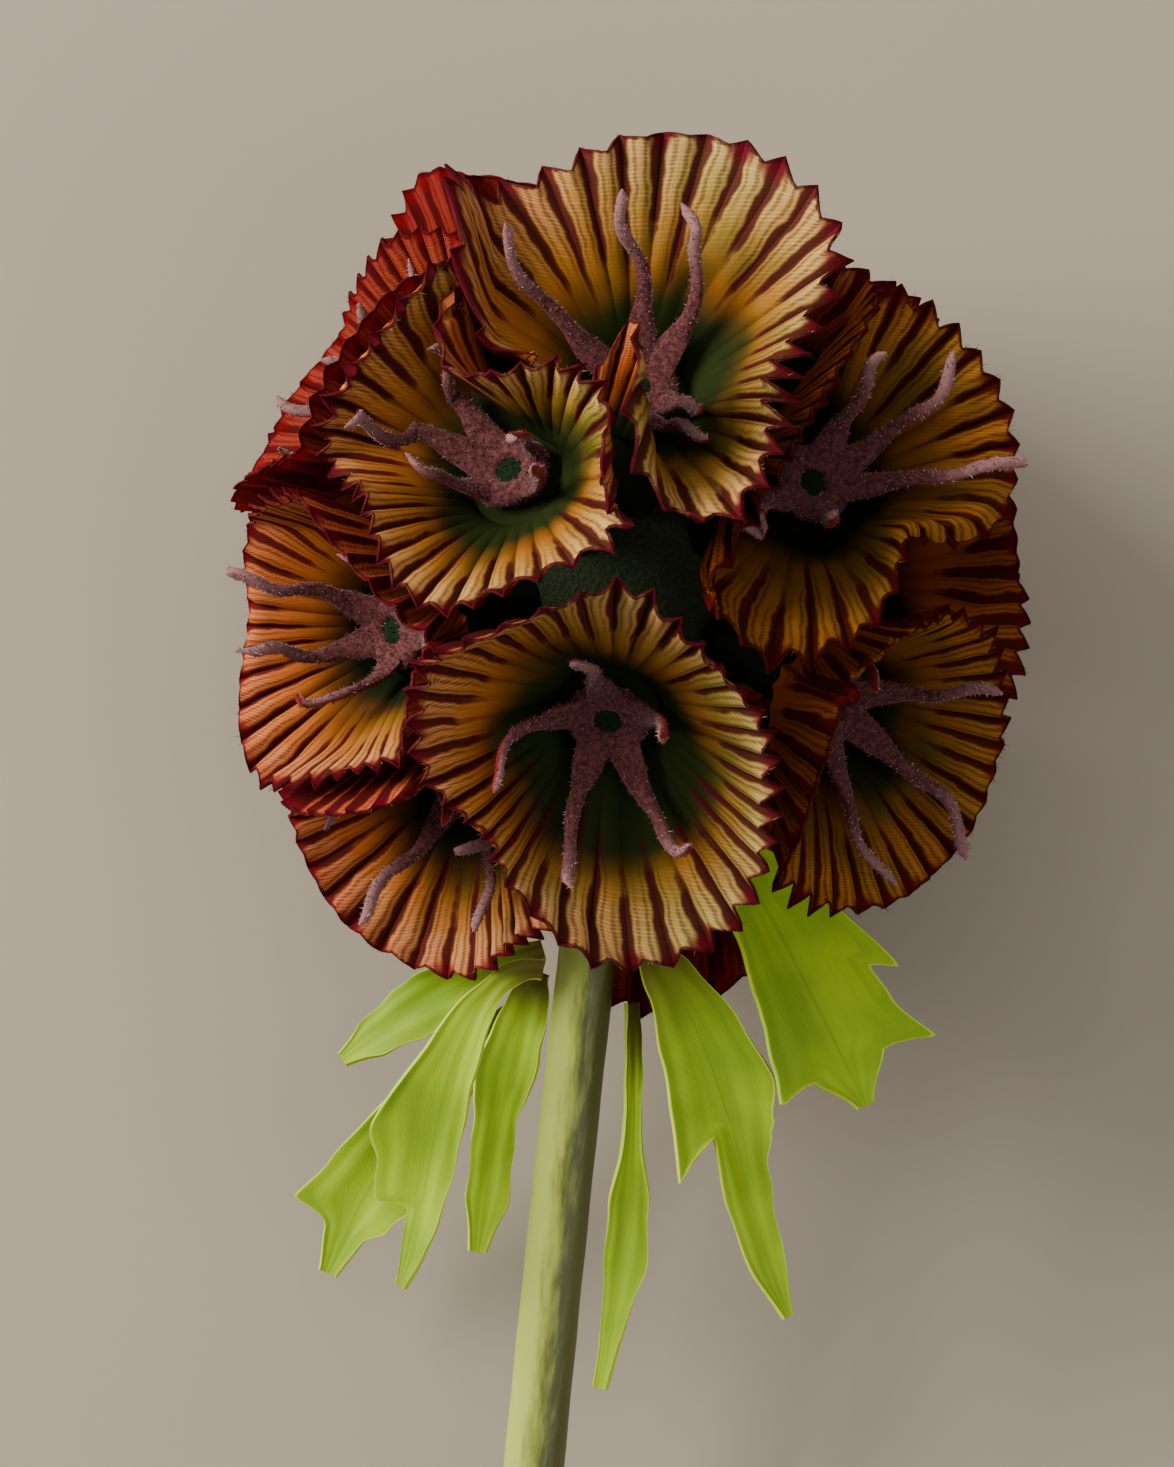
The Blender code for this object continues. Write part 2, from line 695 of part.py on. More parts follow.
def make_leaf(leaf, finish, collection, head):
    """A lobed leaf: a grid whose rows are the leaf's stations, thickened."""
    mesh = bmesh.new()
    rows = len(leaf.stations)
    bmesh.ops.create_grid(mesh, x_segments=rows - 1, y_segments=LEAF_COLUMNS, size=1.0)
    for vert in mesh.verts:
        station = leaf.stations[round((vert.co.x + 1) / 2 * (rows - 1))]
        vert.co = leaf_point(leaf, *station, across=vert.co.y)
    bmesh.ops.triangulate(mesh, faces=mesh.faces)
    obj = add_mesh(leaf.name, mesh, finish, collection, head)
    shell = obj.modifiers.new("blade", "SOLIDIFY")
    shell.thickness = CLOTH * MM
    shell.offset = 0.0
    apply_modifiers(obj)
    return obj


def set_down(head, collection):
    """Moves the head so that the whole thing's box stands on z = 0 with its middle at the origin."""
    bpy.context.view_layer.update()
    corners = [
        obj.matrix_world @ Vector(corner)
        for obj in collection.objects
        if obj.type != "EMPTY"
        for corner in obj.bound_box
    ]
    low = Vector(min(c[k] for c in corners) for k in range(3))
    high = Vector(max(c[k] for c in corners) for k in range(3))
    head.location -= Vector(((low.x + high.x) / 2, (low.y + high.y) / 2, low.z))
    bpy.context.view_layer.update()


def main():
    """Builds the whole seed head."""
    clear_scene()
    collection = bpy.data.collections.new("scabiosa_seed_pod")
    bpy.context.scene.collection.children.link(collection)
    head = bpy.data.objects.new("head_centre", None)
    collection.objects.link(head)
    finishes = make_materials()
    for cup in CUPS:
        make_cup(cup, finishes[cup.colour], collection, head)
        make_star(cup, finishes["mauve"], collection, head)
    make_ball(finishes["ball"], collection, head)
    make_stem(finishes["stem"], collection, head)
    for leaf in LEAVES:
        make_leaf(leaf, finishes["leaf"], collection, head)
    set_down(head, collection)


if __name__ == "__main__":
    main()
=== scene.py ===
"""The looks of a scabiosa seed head that lies on its cut stem.

Each cup is a flat disc of ribbon cloth, pleated and bent by the formula of the head's form, and each star is
a flocked hub with five curling arms. Lengths are millimetres from the head's centre until they reach Blender,
which takes metres. The floor is z = 0.
"""

import logging
import math
from collections.abc import Callable, Iterator, Sequence
from contextlib import contextmanager
from dataclasses import dataclass, field
from enum import Enum

import bpy
import numpy as np
from bpy.types import Material, Node, NodeSocket, NodeTree, Object
from mathutils import Matrix, Vector

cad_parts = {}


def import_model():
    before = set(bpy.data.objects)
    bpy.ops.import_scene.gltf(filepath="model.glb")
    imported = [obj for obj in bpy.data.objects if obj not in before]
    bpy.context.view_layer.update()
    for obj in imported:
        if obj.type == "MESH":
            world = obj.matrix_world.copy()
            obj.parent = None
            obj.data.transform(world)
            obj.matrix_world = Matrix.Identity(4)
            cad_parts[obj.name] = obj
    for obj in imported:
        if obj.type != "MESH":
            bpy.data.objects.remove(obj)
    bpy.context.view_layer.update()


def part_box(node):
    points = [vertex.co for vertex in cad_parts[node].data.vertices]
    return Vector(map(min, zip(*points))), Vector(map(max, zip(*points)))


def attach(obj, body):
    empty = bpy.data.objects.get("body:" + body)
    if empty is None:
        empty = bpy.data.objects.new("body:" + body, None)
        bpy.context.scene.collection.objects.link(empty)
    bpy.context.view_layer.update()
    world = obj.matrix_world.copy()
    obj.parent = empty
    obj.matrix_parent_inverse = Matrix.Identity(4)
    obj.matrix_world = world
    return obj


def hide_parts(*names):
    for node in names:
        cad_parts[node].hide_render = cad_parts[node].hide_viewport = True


LOG = logging.getLogger("scabiosa")
MM = 0.001
Array = np.ndarray
Colour = tuple[float, float, float]

# The head, from its centre outwards
BALL_RADIUS = 7.4
THROAT_AT = 16.3
THROAT_RADIUS = 3.4
CUP_DEPTH = 7.1
RIM_RADIUS = 12.6
FLARE = 0.75
HEAD_HEIGHT = THROAT_AT + CUP_DEPTH + 0.5
CLOTH_ROOM = 0.6
GAP = 0.3
NECK_RADIUS = 2.1
NECK_SHOULDER = 1.6
NECK_TIP_RADIUS = 1.6

# How rims press against each other
SIDE_MARGIN = 0.55
NEIGHBOUR_ANGLE = 100.0
PRESS_SOFTNESS = 0.9
FLOOR_SOFTNESS = 0.4
TURN_UPS = (0.5, 0.25, 0.0, 0.0)
LEAN_FROM = 15.0

# Cloth
PLEATS = 36
CLOTH = 0.2
WALL_LENGTH = 11.6
THREADS = 68.0  # across the radius of a flat disc
FLAT_RADIUS = THROAT_RADIUS + WALL_LENGTH

# Stem
STEM_TOP_RADIUS = 1.95
STEM_END_RADIUS = 2.3
STEM_BEARING = 180.0
STEM_FALL = -10.0
STEM_LENGTH = 124.0
STEM_START = BALL_RADIUS + 2 * GAP
STEM_BOW = -0.7
STEM_SAG = -0.6
STEM_CLEARANCE = 2.7


class Dye(Enum):
    """The four ways in which the cups' cloth is dyed, the brown one darker as painted shade for the cups on
    the right. Each value is the record's material slot.
    """

    OLIVE = "cloth_olive"
    BROWN = "cloth_brown"
    RUST = "cloth_rust"
    RED = "cloth_red"


def direction(bearing: float, height: float) -> Array:
    """The unit vector at a plan bearing clockwise from +Y and a height above the horizontal, in degrees."""
    b, h = math.radians(bearing), math.radians(height)
    return np.array((math.sin(b) * math.cos(h), math.cos(b) * math.cos(h), math.sin(h)))


def unit(vectors: Array) -> Array:
    """Vectors at length one, along the last axis."""
    return vectors / np.maximum(np.linalg.norm(vectors, axis=-1, keepdims=True), 1e-9)


def smooth(values: Array) -> Array:
    """Eases values from 0 to 1, flat outside."""
    share = np.clip(values, 0.0, 1.0)
    return share * share * (3 - 2 * share)


def bezier(points: Sequence[Sequence[float]], share: Array) -> Array:
    """Points of the Bezier curve on any number of control points.

    Args:
        points: The control points.
        share: Shares of the way along the curve.

    Returns:
        One point for each share.
    """
    layers = [np.asarray(point, float)[None, :] for point in points]
    share = np.asarray(share, float)[:, None]
    while len(layers) > 1:
        layers = [a * (1 - share) + b * share for a, b in zip(layers, layers[1:])]
    return layers[0]


def beyond(theta: Array, at: float) -> Array:
    """How far each bearing is past another one, from -180 to 180 degrees."""
    return (theta - at + 180) % 360 - 180


def ripple(angle: Array, seed: float) -> Array:
    """A wandering value from about -1 to 1 round a circle, different for each seed.

    Args:
        angle: Degrees round the circle.
        seed: Any number.

    Returns:
        The value at each angle.
    """
    t = np.radians(angle)
    first = np.sin(2 * t + 1.7 * seed)
    second = 0.8 * np.sin(5 * t + 2.9 * seed + 1.0)
    third = 0.6 * np.sin(9 * t + 4.1 * seed + 2.0)
    return (first + second + third) / 2.0


@dataclass(frozen=True)
class Lobe:
    """A stretch of a rim that leaves the plain funnel: degrees round the cup, then millimetres."""

    at: float
    out: float
    up: float = 0.0
    width: float = 50.0


@dataclass(frozen=True)
class Arm:
    """One arm of a star: its bearing, reach up the wall, sideways bend and lift, and a hook at the tip."""

    at: float
    reach: float = 0.85
    bend: float = 0.0
    lift: float = 1.5
    hook: float = 0.0


@dataclass(frozen=True)
class Curl:
    """A stretch of a rim whose edge rolls outwards: degrees round the cup, then millimetres."""

    at: float
    width: float
    down: float


def even_arms(first: float, twist: float = 8.0, reach: float = 0.85, lift: float = 1.5) -> tuple[Arm, ...]:
    """Five arms a fifth of a turn apart, bent and lifted by turns so that no two are alike.

    Args:
        first: The bearing of the first arm, in degrees.
        twist: The largest sideways bend, in degrees.
        reach: The mean reach up the wall.
        lift: The least lift at the tip.

    Returns:
        The arms.
    """
    return tuple(
        Arm(
            first + 72 * number,
            reach + 0.06 * math.sin(2.1 * number + first),
            twist * math.cos(1.7 * number),
            lift + 0.5 * (number % 3),
        )
        for number in range(5)
    )


@dataclass(frozen=True)
class Cup:
    """A cup's place in the head: its bearing, clockwise from +Y, its height, and where it faces.

    Its tooth is how far the rim's teeth stand out. Its green is the bearing towards which the throat's dark
    green, deepened by painted shade, reaches up the wall, and how far.
    """

    name: str
    bearing: float
    height: float
    lobes: tuple[Lobe, ...]
    arms: tuple[Arm, ...]
    dye: Dye
    facing: tuple[float, float] | None = None
    curls: tuple[Curl, ...] = ()
    tooth: float = 1.05
    green: tuple[float, float] = (180, 0.08)

    @property
    def axis(self) -> Array:
        """Out from the head's centre, through the middle of the throat."""
        return direction(self.bearing, self.height)

    @property
    def face(self) -> Array:
        """The way the cup opens."""
        return direction(*self.facing) if self.facing else self.axis


CUPS = (
    Cup(
        "top", -3, 45,
        (Lobe(12, 4.0, 0.5, 42), Lobe(-62, 4.4, -2.0, 26), Lobe(52, 1.5, 0.0, 28), Lobe(102, -3.0, 0.0, 35),
         Lobe(156, 3.4, 0.0, 32), Lobe(-176, -2.0, 0.0, 22), Lobe(-120, -9.6, -4.5, 34)),
        (Arm(-2, 0.72, -16, 2.6), Arm(36, 0.62, -22, 3.6, -1.0), Arm(-58, 0.75, 4, 3.2),
         Arm(120, 0.5, 10, 1.4), Arm(172, 0.45, 0, 2.0)),
        Dye.OLIVE, (-3, 58), tooth=2.0, green=(110, 0.2),
    ),
    Cup(
        "upper_left", -55, 54,
        (Lobe(-60, 2.2, -1.0, 60), Lobe(-20, 4.5, -1.5, 26), Lobe(24, -4.0, 1.0, 28),
         Lobe(54, -3.5, 1.0, 35), Lobe(120, 2.0, 0.0, 38), Lobe(-130, -5.0, 1.0, 38)),
        (Arm(-50, 0.7, 0, 1.6), Arm(34, 0.75, 6, 2.6), Arm(-82, 1.0, -4, 1.4), Arm(112, 0.5, -10, 3.0),
         Arm(-135, 0.7, 6, 1.6)),
        Dye.OLIVE, curls=(Curl(-50, 42, 2.4),), green=(150, 0.16),
    ),
    Cup(
        "lower_middle", -177, 56,
        (Lobe(-10, 2.0, 0.0, 25), Lobe(84, -1.5, 0.0, 40), Lobe(166, 3.6, -0.5, 40),
         Lobe(-130, -3.4, 0.5, 32), Lobe(-42, 2.2, 0.0, 25)),
        (Arm(-10, 0.6, 0, 2.0), Arm(62, 0.6, -20, 3.6), Arm(146, 0.75, -32, 3.4), Arm(206, 0.85, -14, 1.6),
         Arm(-78, 0.8, -34, 1.8)),
        Dye.OLIVE, tooth=1.2, green=(190, 0.42),
    ),
    Cup(
        "right", 59, 37,
        (Lobe(140, -5.5, 1.0, 26), Lobe(-136, 6.0, 0.0, 34), Lobe(-62, -4.0, 0.0, 36)),
        (Arm(58, 0.9, -8, 1.6), Arm(96, 0.95, -4, 1.8), Arm(160, 0.5, 0, 2.6), Arm(22, 0.65, 0, 3.0),
         Arm(-120, 0.4, 0, 1.6)),
        Dye.BROWN, (40, 64), (Curl(118, 30, 2.6),),
    ),
    Cup(
        "lower_right", 117, 19,
        (Lobe(-76, 4.0, 0.0, 28), Lobe(0, -3.0, 0.0, 30), Lobe(60, -2.8, 0.0, 50)),
        (Arm(60, 1.0, -8, 2.4), Arm(118, 1.0, 10, 1.8), Arm(-104, 0.6, 0, 2.4), Arm(178, 0.9, -8, 1.8),
         Arm(-30, 0.7, 0, 1.6)),
        Dye.BROWN, (113, 45), (Curl(-40, 36, 2.2),),
    ),
    Cup(
        "left", -109, 20,
        (Lobe(-80, -3.4, 0.0, 45), Lobe(160, -3.0, 0.0, 35), Lobe(85, 1.0, -3.5, 40)),
        (Arm(-58, 0.95, -8, 2.2), Arm(-112, 0.8, 20, 3.2), Arm(176, 0.6, 14, 3.6), Arm(20, 0.6, 0, 1.6),
         Arm(96, 0.35, 0, 0.8)),
        Dye.RUST, (-100, 45), (Curl(-90, 30, 1.2),),
    ),
    Cup(
        "lower_left", -147, 7,
        (Lobe(-75, -1.0, 0.0, 30), Lobe(-148, 3.0, 0.0, 38), Lobe(160, -3.0, 0.0, 35)),
        even_arms(-60), Dye.RUST, (-150, 34), (Curl(70, 40, 2.0),),
    ),
    Cup("upper_left_back", -60, 7, (Lobe(-90, -1.5, 0.0, 60),), even_arms(-40), Dye.RED, (-60, 16)),
    Cup("top_back", -27, -18, (Lobe(72, 2.0, 2.5, 26),), even_arms(10), Dye.RED),
    Cup("right_back", 83, -18, (Lobe(90, -2.5, 0.0, 60),), even_arms(30), Dye.BROWN),
    Cup("bottom_back", 151, -43, (Lobe(180, 6.0, 0.0, 45),), even_arms(50), Dye.RED),
    Cup("top_low", 26, -8, (Lobe(90, -1.0, 0.0, 60),), even_arms(0), Dye.RUST),
    Cup("underside", 0, -90, (), even_arms(20, reach=0.45, lift=0.2), Dye.RUST),
    Cup("left_back", -77, -38, (), even_arms(-20), Dye.RUST),
    Cup("right_low", 36, -47, (), even_arms(44), Dye.BROWN),
    Cup("lower_left_back", -137, -40, (), even_arms(64), Dye.RUST),
)


@dataclass(frozen=True)
class Bulge:
    """A stretch of a boundary: where along it, how wide, how far moved and leant towards the second cup."""

    at: float
    width: float
    out: float
    lean: float


@dataclass(frozen=True)
class Between:
    """How the boundary between two cups differs from the plane halfway between them.

    It is turned, leant so that the first cup overhangs the second, moved towards the second, or widened.
    """

    turn: float = 0.0
    lean: float = 0.0
    shift: float = 0.0
    widen: float = 0.0
    bulges: tuple[Bulge, ...] = ()


HALFWAY = Between()
BETWEEN = {
    ("top", "upper_left"): Between(
        turn=8, lean=-0.5, shift=0.4, bulges=(Bulge(4.0, 4.5, -0.4, 0.7), Bulge(-14.0, 7.0, -6.0, 0.3))
    ),
    ("top", "right"): Between(lean=-0.3),
    ("right", "lower_right"): Between(turn=10),
    ("right", "lower_middle"): Between(lean=-0.42),
    ("right", "upper_left"): Between(lean=-0.25),
    ("lower_right", "bottom_back"): Between(widen=0.9),
}


@dataclass(frozen=True)
class Boundary:
    """The side of a gently bulging plane that a cup keeps behind."""

    normal: Array
    offset: float
    side: int = 1
    middle: Array = field(default_factory=lambda: np.zeros(3))
    tangent: Array = field(default_factory=lambda: np.zeros(3))
    bulges: tuple[Bulge, ...] = ()

    def distance(self, points: Array) -> Array:
        """How far each point is past the boundary."""
        offset = np.full(len(points), self.offset)
        along = points @ self.tangent
        above = points @ self.middle
        for bulge in self.bulges:
            share = np.exp(-(((along - bulge.at) / bulge.width) ** 2))
            offset += self.side * share * (bulge.out + bulge.lean * (LEAN_FROM - above))
        return points @ self.normal - offset + SIDE_MARGIN

    @staticmethod
    def between(cup: Cup, other: Cup) -> "Boundary":
        """The boundary that a cup keeps behind, between it and another cup."""
        swapped = (other.name, cup.name) in BETWEEN
        first, second = (other, cup) if swapped else (cup, other)
        change = BETWEEN.get((first.name, second.name), HALFWAY)
        middle = unit(first.axis + second.axis)
        turned = Matrix.Rotation(math.radians(change.turn), 3, Vector(middle))
        normal = np.array(turned @ Vector(unit(second.axis - first.axis))) + change.lean * middle
        offset = change.lean * LEAN_FROM / np.linalg.norm(normal) + change.shift
        side = -1 if swapped else 1
        normal = unit(normal)
        offset = side * offset - change.widen
        return Boundary(normal * side, offset, side, middle, np.cross(middle, normal), change.bulges)

    @staticmethod
    def all_of(cup: Cup) -> list["Boundary"]:
        """The boundaries that a cup stays behind: one for each near neighbour, and one beside the stem."""
        near = [
            Boundary.between(cup, other)
            for other in CUPS
            if other is not cup and cup.axis @ other.axis > math.cos(math.radians(NEIGHBOUR_ANGLE))
        ]
        stem = direction(STEM_BEARING, STEM_FALL)
        aside = unit(stem * (cup.axis @ stem) - cup.axis)
        return near + [Boundary(aside, SIDE_MARGIN - STEM_CLEARANCE)]


def pressed(distance: Array, softness: float) -> Array:
    """Distances past a plane, eased so that they near the plane and never pass it."""
    eased = -softness * np.exp(-np.maximum(distance + softness, 0.0) / softness)
    return np.where(distance < -softness, distance, eased)


@dataclass(frozen=True)
class CupForm:
    """The surface of one cup, as a formula of the bearing round it and of the way from throat to rim.

    The relief is the pleats' depth, the wobble the wall's unevenness and the slope the share of a pleat that
    a tooth's long side takes. Each name with from is the way at which something sets in.
    """

    cup: Cup
    relief: float = 0.8
    wobble: float = 0.35
    slope: float = 0.6
    roll_from: float = 0.72
    wobble_from: float = 0.3
    teeth_from: float = 0.86
    pleats_from: float = 0.08

    def __post_init__(self) -> None:
        """Works out the cup's directions and boundaries once."""
        face = self.cup.face
        upward = np.array((0.0, 1.0, 0.0))
        up = unit(upward - face * (upward @ face))
        object.__setattr__(self, "face", face)
        object.__setattr__(self, "up", up)
        object.__setattr__(self, "side", np.cross(up, face))
        object.__setattr__(self, "throat", self.cup.axis * THROAT_AT)
        object.__setattr__(self, "limits", Boundary.all_of(self.cup))
        object.__setattr__(self, "seed", sum(ord(letter) for letter in self.cup.name) % 97)

    def spoke(self, theta: Array) -> Array:
        """The unit vectors across the cup at bearings round it, in degrees."""
        t = np.radians(np.asarray(theta, float))[..., None]
        return self.side * np.sin(t) + self.up * np.cos(t)

    def rim(self, theta: Array) -> tuple[Array, Array]:
        """The rim's radius and height above the throat at each bearing."""
        out = np.full_like(theta, RIM_RADIUS)
        up = np.full_like(theta, CUP_DEPTH)
        for lobe in self.cup.lobes:
            away = beyond(theta, lobe.at)
            near = np.abs(away) < 2 * lobe.width
            share = np.where(near, 0.5 + 0.5 * np.cos(np.pi * away / (2 * lobe.width)), 0.0) ** 1.5
            out += lobe.out * share
            up += lobe.up * share
        return out, up

    def kept_in(self, points: Array, extra: float = 0.0) -> Array:
        """Points pressed back behind each boundary. The part pressed back turns up."""
        for turn_up in TURN_UPS:
            for limit in self.limits:
                distance = limit.distance(points) + extra
                back = (distance - pressed(distance, PRESS_SOFTNESS))[:, None]
                points = points - limit.normal * back + self.face * (turn_up * back)
        floor = CLOTH_ROOM / 2 + extra / 2 - HEAD_HEIGHT
        points[:, 2] = floor - pressed(floor - points[:, 2], FLOOR_SOFTNESS)
        return points

    def wall(self, theta: Array, way: Array, tooth: Array | float = 0.0, extra: float = 0.0) -> Array:
        """The cloth's middle without its pleats.

        Args:
            theta: Bearings round the cup, in degrees.
            way: Shares of the way from throat to rim. Inside the throat they fall to -1 at its middle.
            tooth: How far each point stands out of the plain rim, in millimetres.
            extra: Room kept from the boundaries, beyond the cloth's own.

        Returns:
            One point for each bearing.
        """
        out, up = self.rim(theta)
        edge = smooth((way - self.roll_from) / (1 - self.roll_from))
        roll = np.zeros_like(theta)
        for curl in self.cup.curls:
            roll += curl.down * np.exp(-((beyond(theta, curl.at) / curl.width) ** 2))
        radius = THROAT_RADIUS + np.where(way < 0, THROAT_RADIUS, out - THROAT_RADIUS) * way + tooth
        lift = up * np.maximum(way, 0.0) ** FLARE - roll * edge**2
        uneven = smooth((way - self.wobble_from) / (1 - self.wobble_from))
        wander = self.wobble * ripple(theta, self.seed) * uneven
        points = self.throat + self.face * (lift + wander)[:, None] + self.spoke(theta) * radius[:, None]
        return self.kept_in(points, extra)

    def inward(self, theta: Array, way: Array) -> Array:
        """The unit vectors that leave the cup's inner face."""
        step = 0.03
        along = self.wall(theta, way + step) - self.wall(theta, way - step)
        round_it = self.wall(theta + 3, way) - self.wall(theta - 3, way)
        normal = unit(np.cross(round_it, along))
        return np.where((normal @ self.face)[:, None] > 0, normal, -normal)

    def cloth(self, theta: Array, way: Array) -> Array:
        """The middle of the pleated and toothed cloth at each bearing and way."""
        pleat = theta * PLEATS / 360
        number = np.floor(pleat)
        phase = pleat - number
        saw = np.where(phase < self.slope, 1 - phase / self.slope, (phase - self.slope) / (1 - self.slope))
        keen = 0.8 + 0.35 * np.sin(number * 12.9 + self.seed) + 0.4 * ripple(theta, self.seed + 3)
        cut = np.clip((way - self.teeth_from) / (1 - self.teeth_from), 0.0, 1.0)
        tooth = self.cup.tooth * np.clip(keen, 0.2, 1.7) * (saw - 0.5) * cut
        deep = 0.78 + 0.22 * np.sin(number * 7.3 + 2 * self.seed) + 0.35 * ripple(theta, self.seed + 9)
        ridge = np.abs(np.sin(np.pi * phase)) ** 0.8 - 0.6
        grown = np.clip((way - self.pleats_from) / 0.8, 0.0, 1.0)
        height = self.relief * np.clip(deep, 0.25, 1.2) * ridge * grown
        return self.wall(theta, way, tooth) + self.inward(theta, way) * height[:, None]


class Shop:
    """Short calls for work on one object at a time."""

    centre = np.zeros(3)
    lowest = 0.12

    @staticmethod
    def primitive(name: str, add: Callable, **values: object) -> Object:
        """Adds a primitive with nothing else selected, and names it."""
        bpy.ops.object.select_all(action="DESELECT")
        add(**values)
        bpy.context.object.name = name
        return bpy.context.object

    @staticmethod
    @contextmanager
    def editing(action: str = "SELECT") -> Iterator[None]:
        """Edits the active object's mesh, starting with all or none of it selected."""
        bpy.ops.object.mode_set(mode="EDIT")
        bpy.ops.mesh.select_all(action=action)
        yield
        bpy.ops.object.mode_set(mode="OBJECT")

    @staticmethod
    def face_out() -> None:
        """Turns all the normals of the mesh in edit mode outwards."""
        bpy.ops.mesh.select_all(action="SELECT")
        bpy.ops.mesh.normals_make_consistent(inside=False)

    @staticmethod
    def draw_up(steps: int) -> None:
        """Draws the selection up along Z, one unit and one ring of faces a step."""
        for _ in range(steps):
            bpy.ops.mesh.extrude_region_move(TRANSFORM_OT_translate={"value": (0.0, 0.0, 1.0)})

    @staticmethod
    def alone(obj: Object) -> None:
        """Makes an object the active one and the only one selected."""
        bpy.ops.object.select_all(action="DESELECT")
        obj.select_set(True)
        bpy.context.view_layer.objects.active = obj

    @staticmethod
    def points(obj: Object) -> Array:
        """An object's vertices, one row each."""
        found = np.empty(len(obj.data.vertices) * 3)
        obj.data.vertices.foreach_get("co", found)
        return found.reshape(-1, 3)

    @classmethod
    def metres(cls, points: Array, lowest: float) -> Array:
        """Turns millimetres from the head's centre into Blender's metres, with none under a height."""
        placed = points + cls.centre
        placed[:, 2] = np.maximum(placed[:, 2], lowest)
        return placed * MM

    @classmethod
    def place(cls, obj: Object, points: Array) -> None:
        """Moves an object's vertices to points given from the head's centre, in millimetres."""
        obj.data.vertices.foreach_set("co", cls.metres(points, cls.lowest).ravel())
        obj.data.update()

    @staticmethod
    def lay_flat(obj: Object, places: Array) -> None:
        """Keeps each vertex's place in a flat sheet as the only UV map."""
        for layer in list(obj.data.uv_layers):
            obj.data.uv_layers.remove(layer)
        corners = np.empty(len(obj.data.loops), int)
        obj.data.loops.foreach_get("vertex_index", corners)
        obj.data.uv_layers.new(name="flat").data.foreach_set("uv", places[corners].ravel())

    @staticmethod
    def copy(template: Object, name: str) -> Object:
        """A copy of a template with its own mesh."""
        made = template.copy()
        made.data = template.data.copy()
        made.name = name
        made.data.name = name
        bpy.context.scene.collection.objects.link(made)
        return made

    @classmethod
    def thicken(cls, obj: Object, thickness: float) -> None:
        """Gives a sheet its thickness, in millimetres, half to each side."""
        cls.alone(obj)
        shell = obj.modifiers.new("wall", "SOLIDIFY")
        shell.thickness = thickness * MM
        shell.offset = 0.0
        bpy.ops.object.modifier_apply(modifier=shell.name)

    @classmethod
    def join(cls, objects: Sequence[Object]) -> Object:
        """Joins objects into the first and returns it."""
        bpy.ops.object.select_all(action="DESELECT")
        for obj in objects:
            obj.select_set(True)
        bpy.context.view_layer.objects.active = objects[0]
        bpy.ops.object.join()
        return objects[0]

    @classmethod
    def soften(cls, obj: Object, angle: float) -> None:
        """Shades an object smooth, apart from edges sharper than an angle in degrees."""
        cls.alone(obj)
        bpy.ops.object.shade_smooth_by_angle(angle=math.radians(angle))

    @classmethod
    def dress(cls, obj: Object, finish: Material, angle: float) -> None:
        """Gives an object its one material and shades it smooth up to an angle in degrees."""
        obj.data.materials.clear()
        obj.data.materials.append(finish)
        cls.soften(obj, angle)

    @staticmethod
    def note(obj: Object, name: str, values: Array) -> None:
        """Keeps one number for each vertex, for the materials to read."""
        made = obj.data.attributes.new(name, "FLOAT", "POINT")
        made.data.foreach_set("value", np.asarray(values, np.float32))

    @classmethod
    def fit(cls, obj: Object, slot: str, *nodes: str) -> None:
        """Puts a finished piece on the frame in place of CAD nodes."""
        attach(obj, "root")
        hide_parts(*nodes)
        LOG.info("%s: %d faces", obj.name, len(obj.data.polygons))


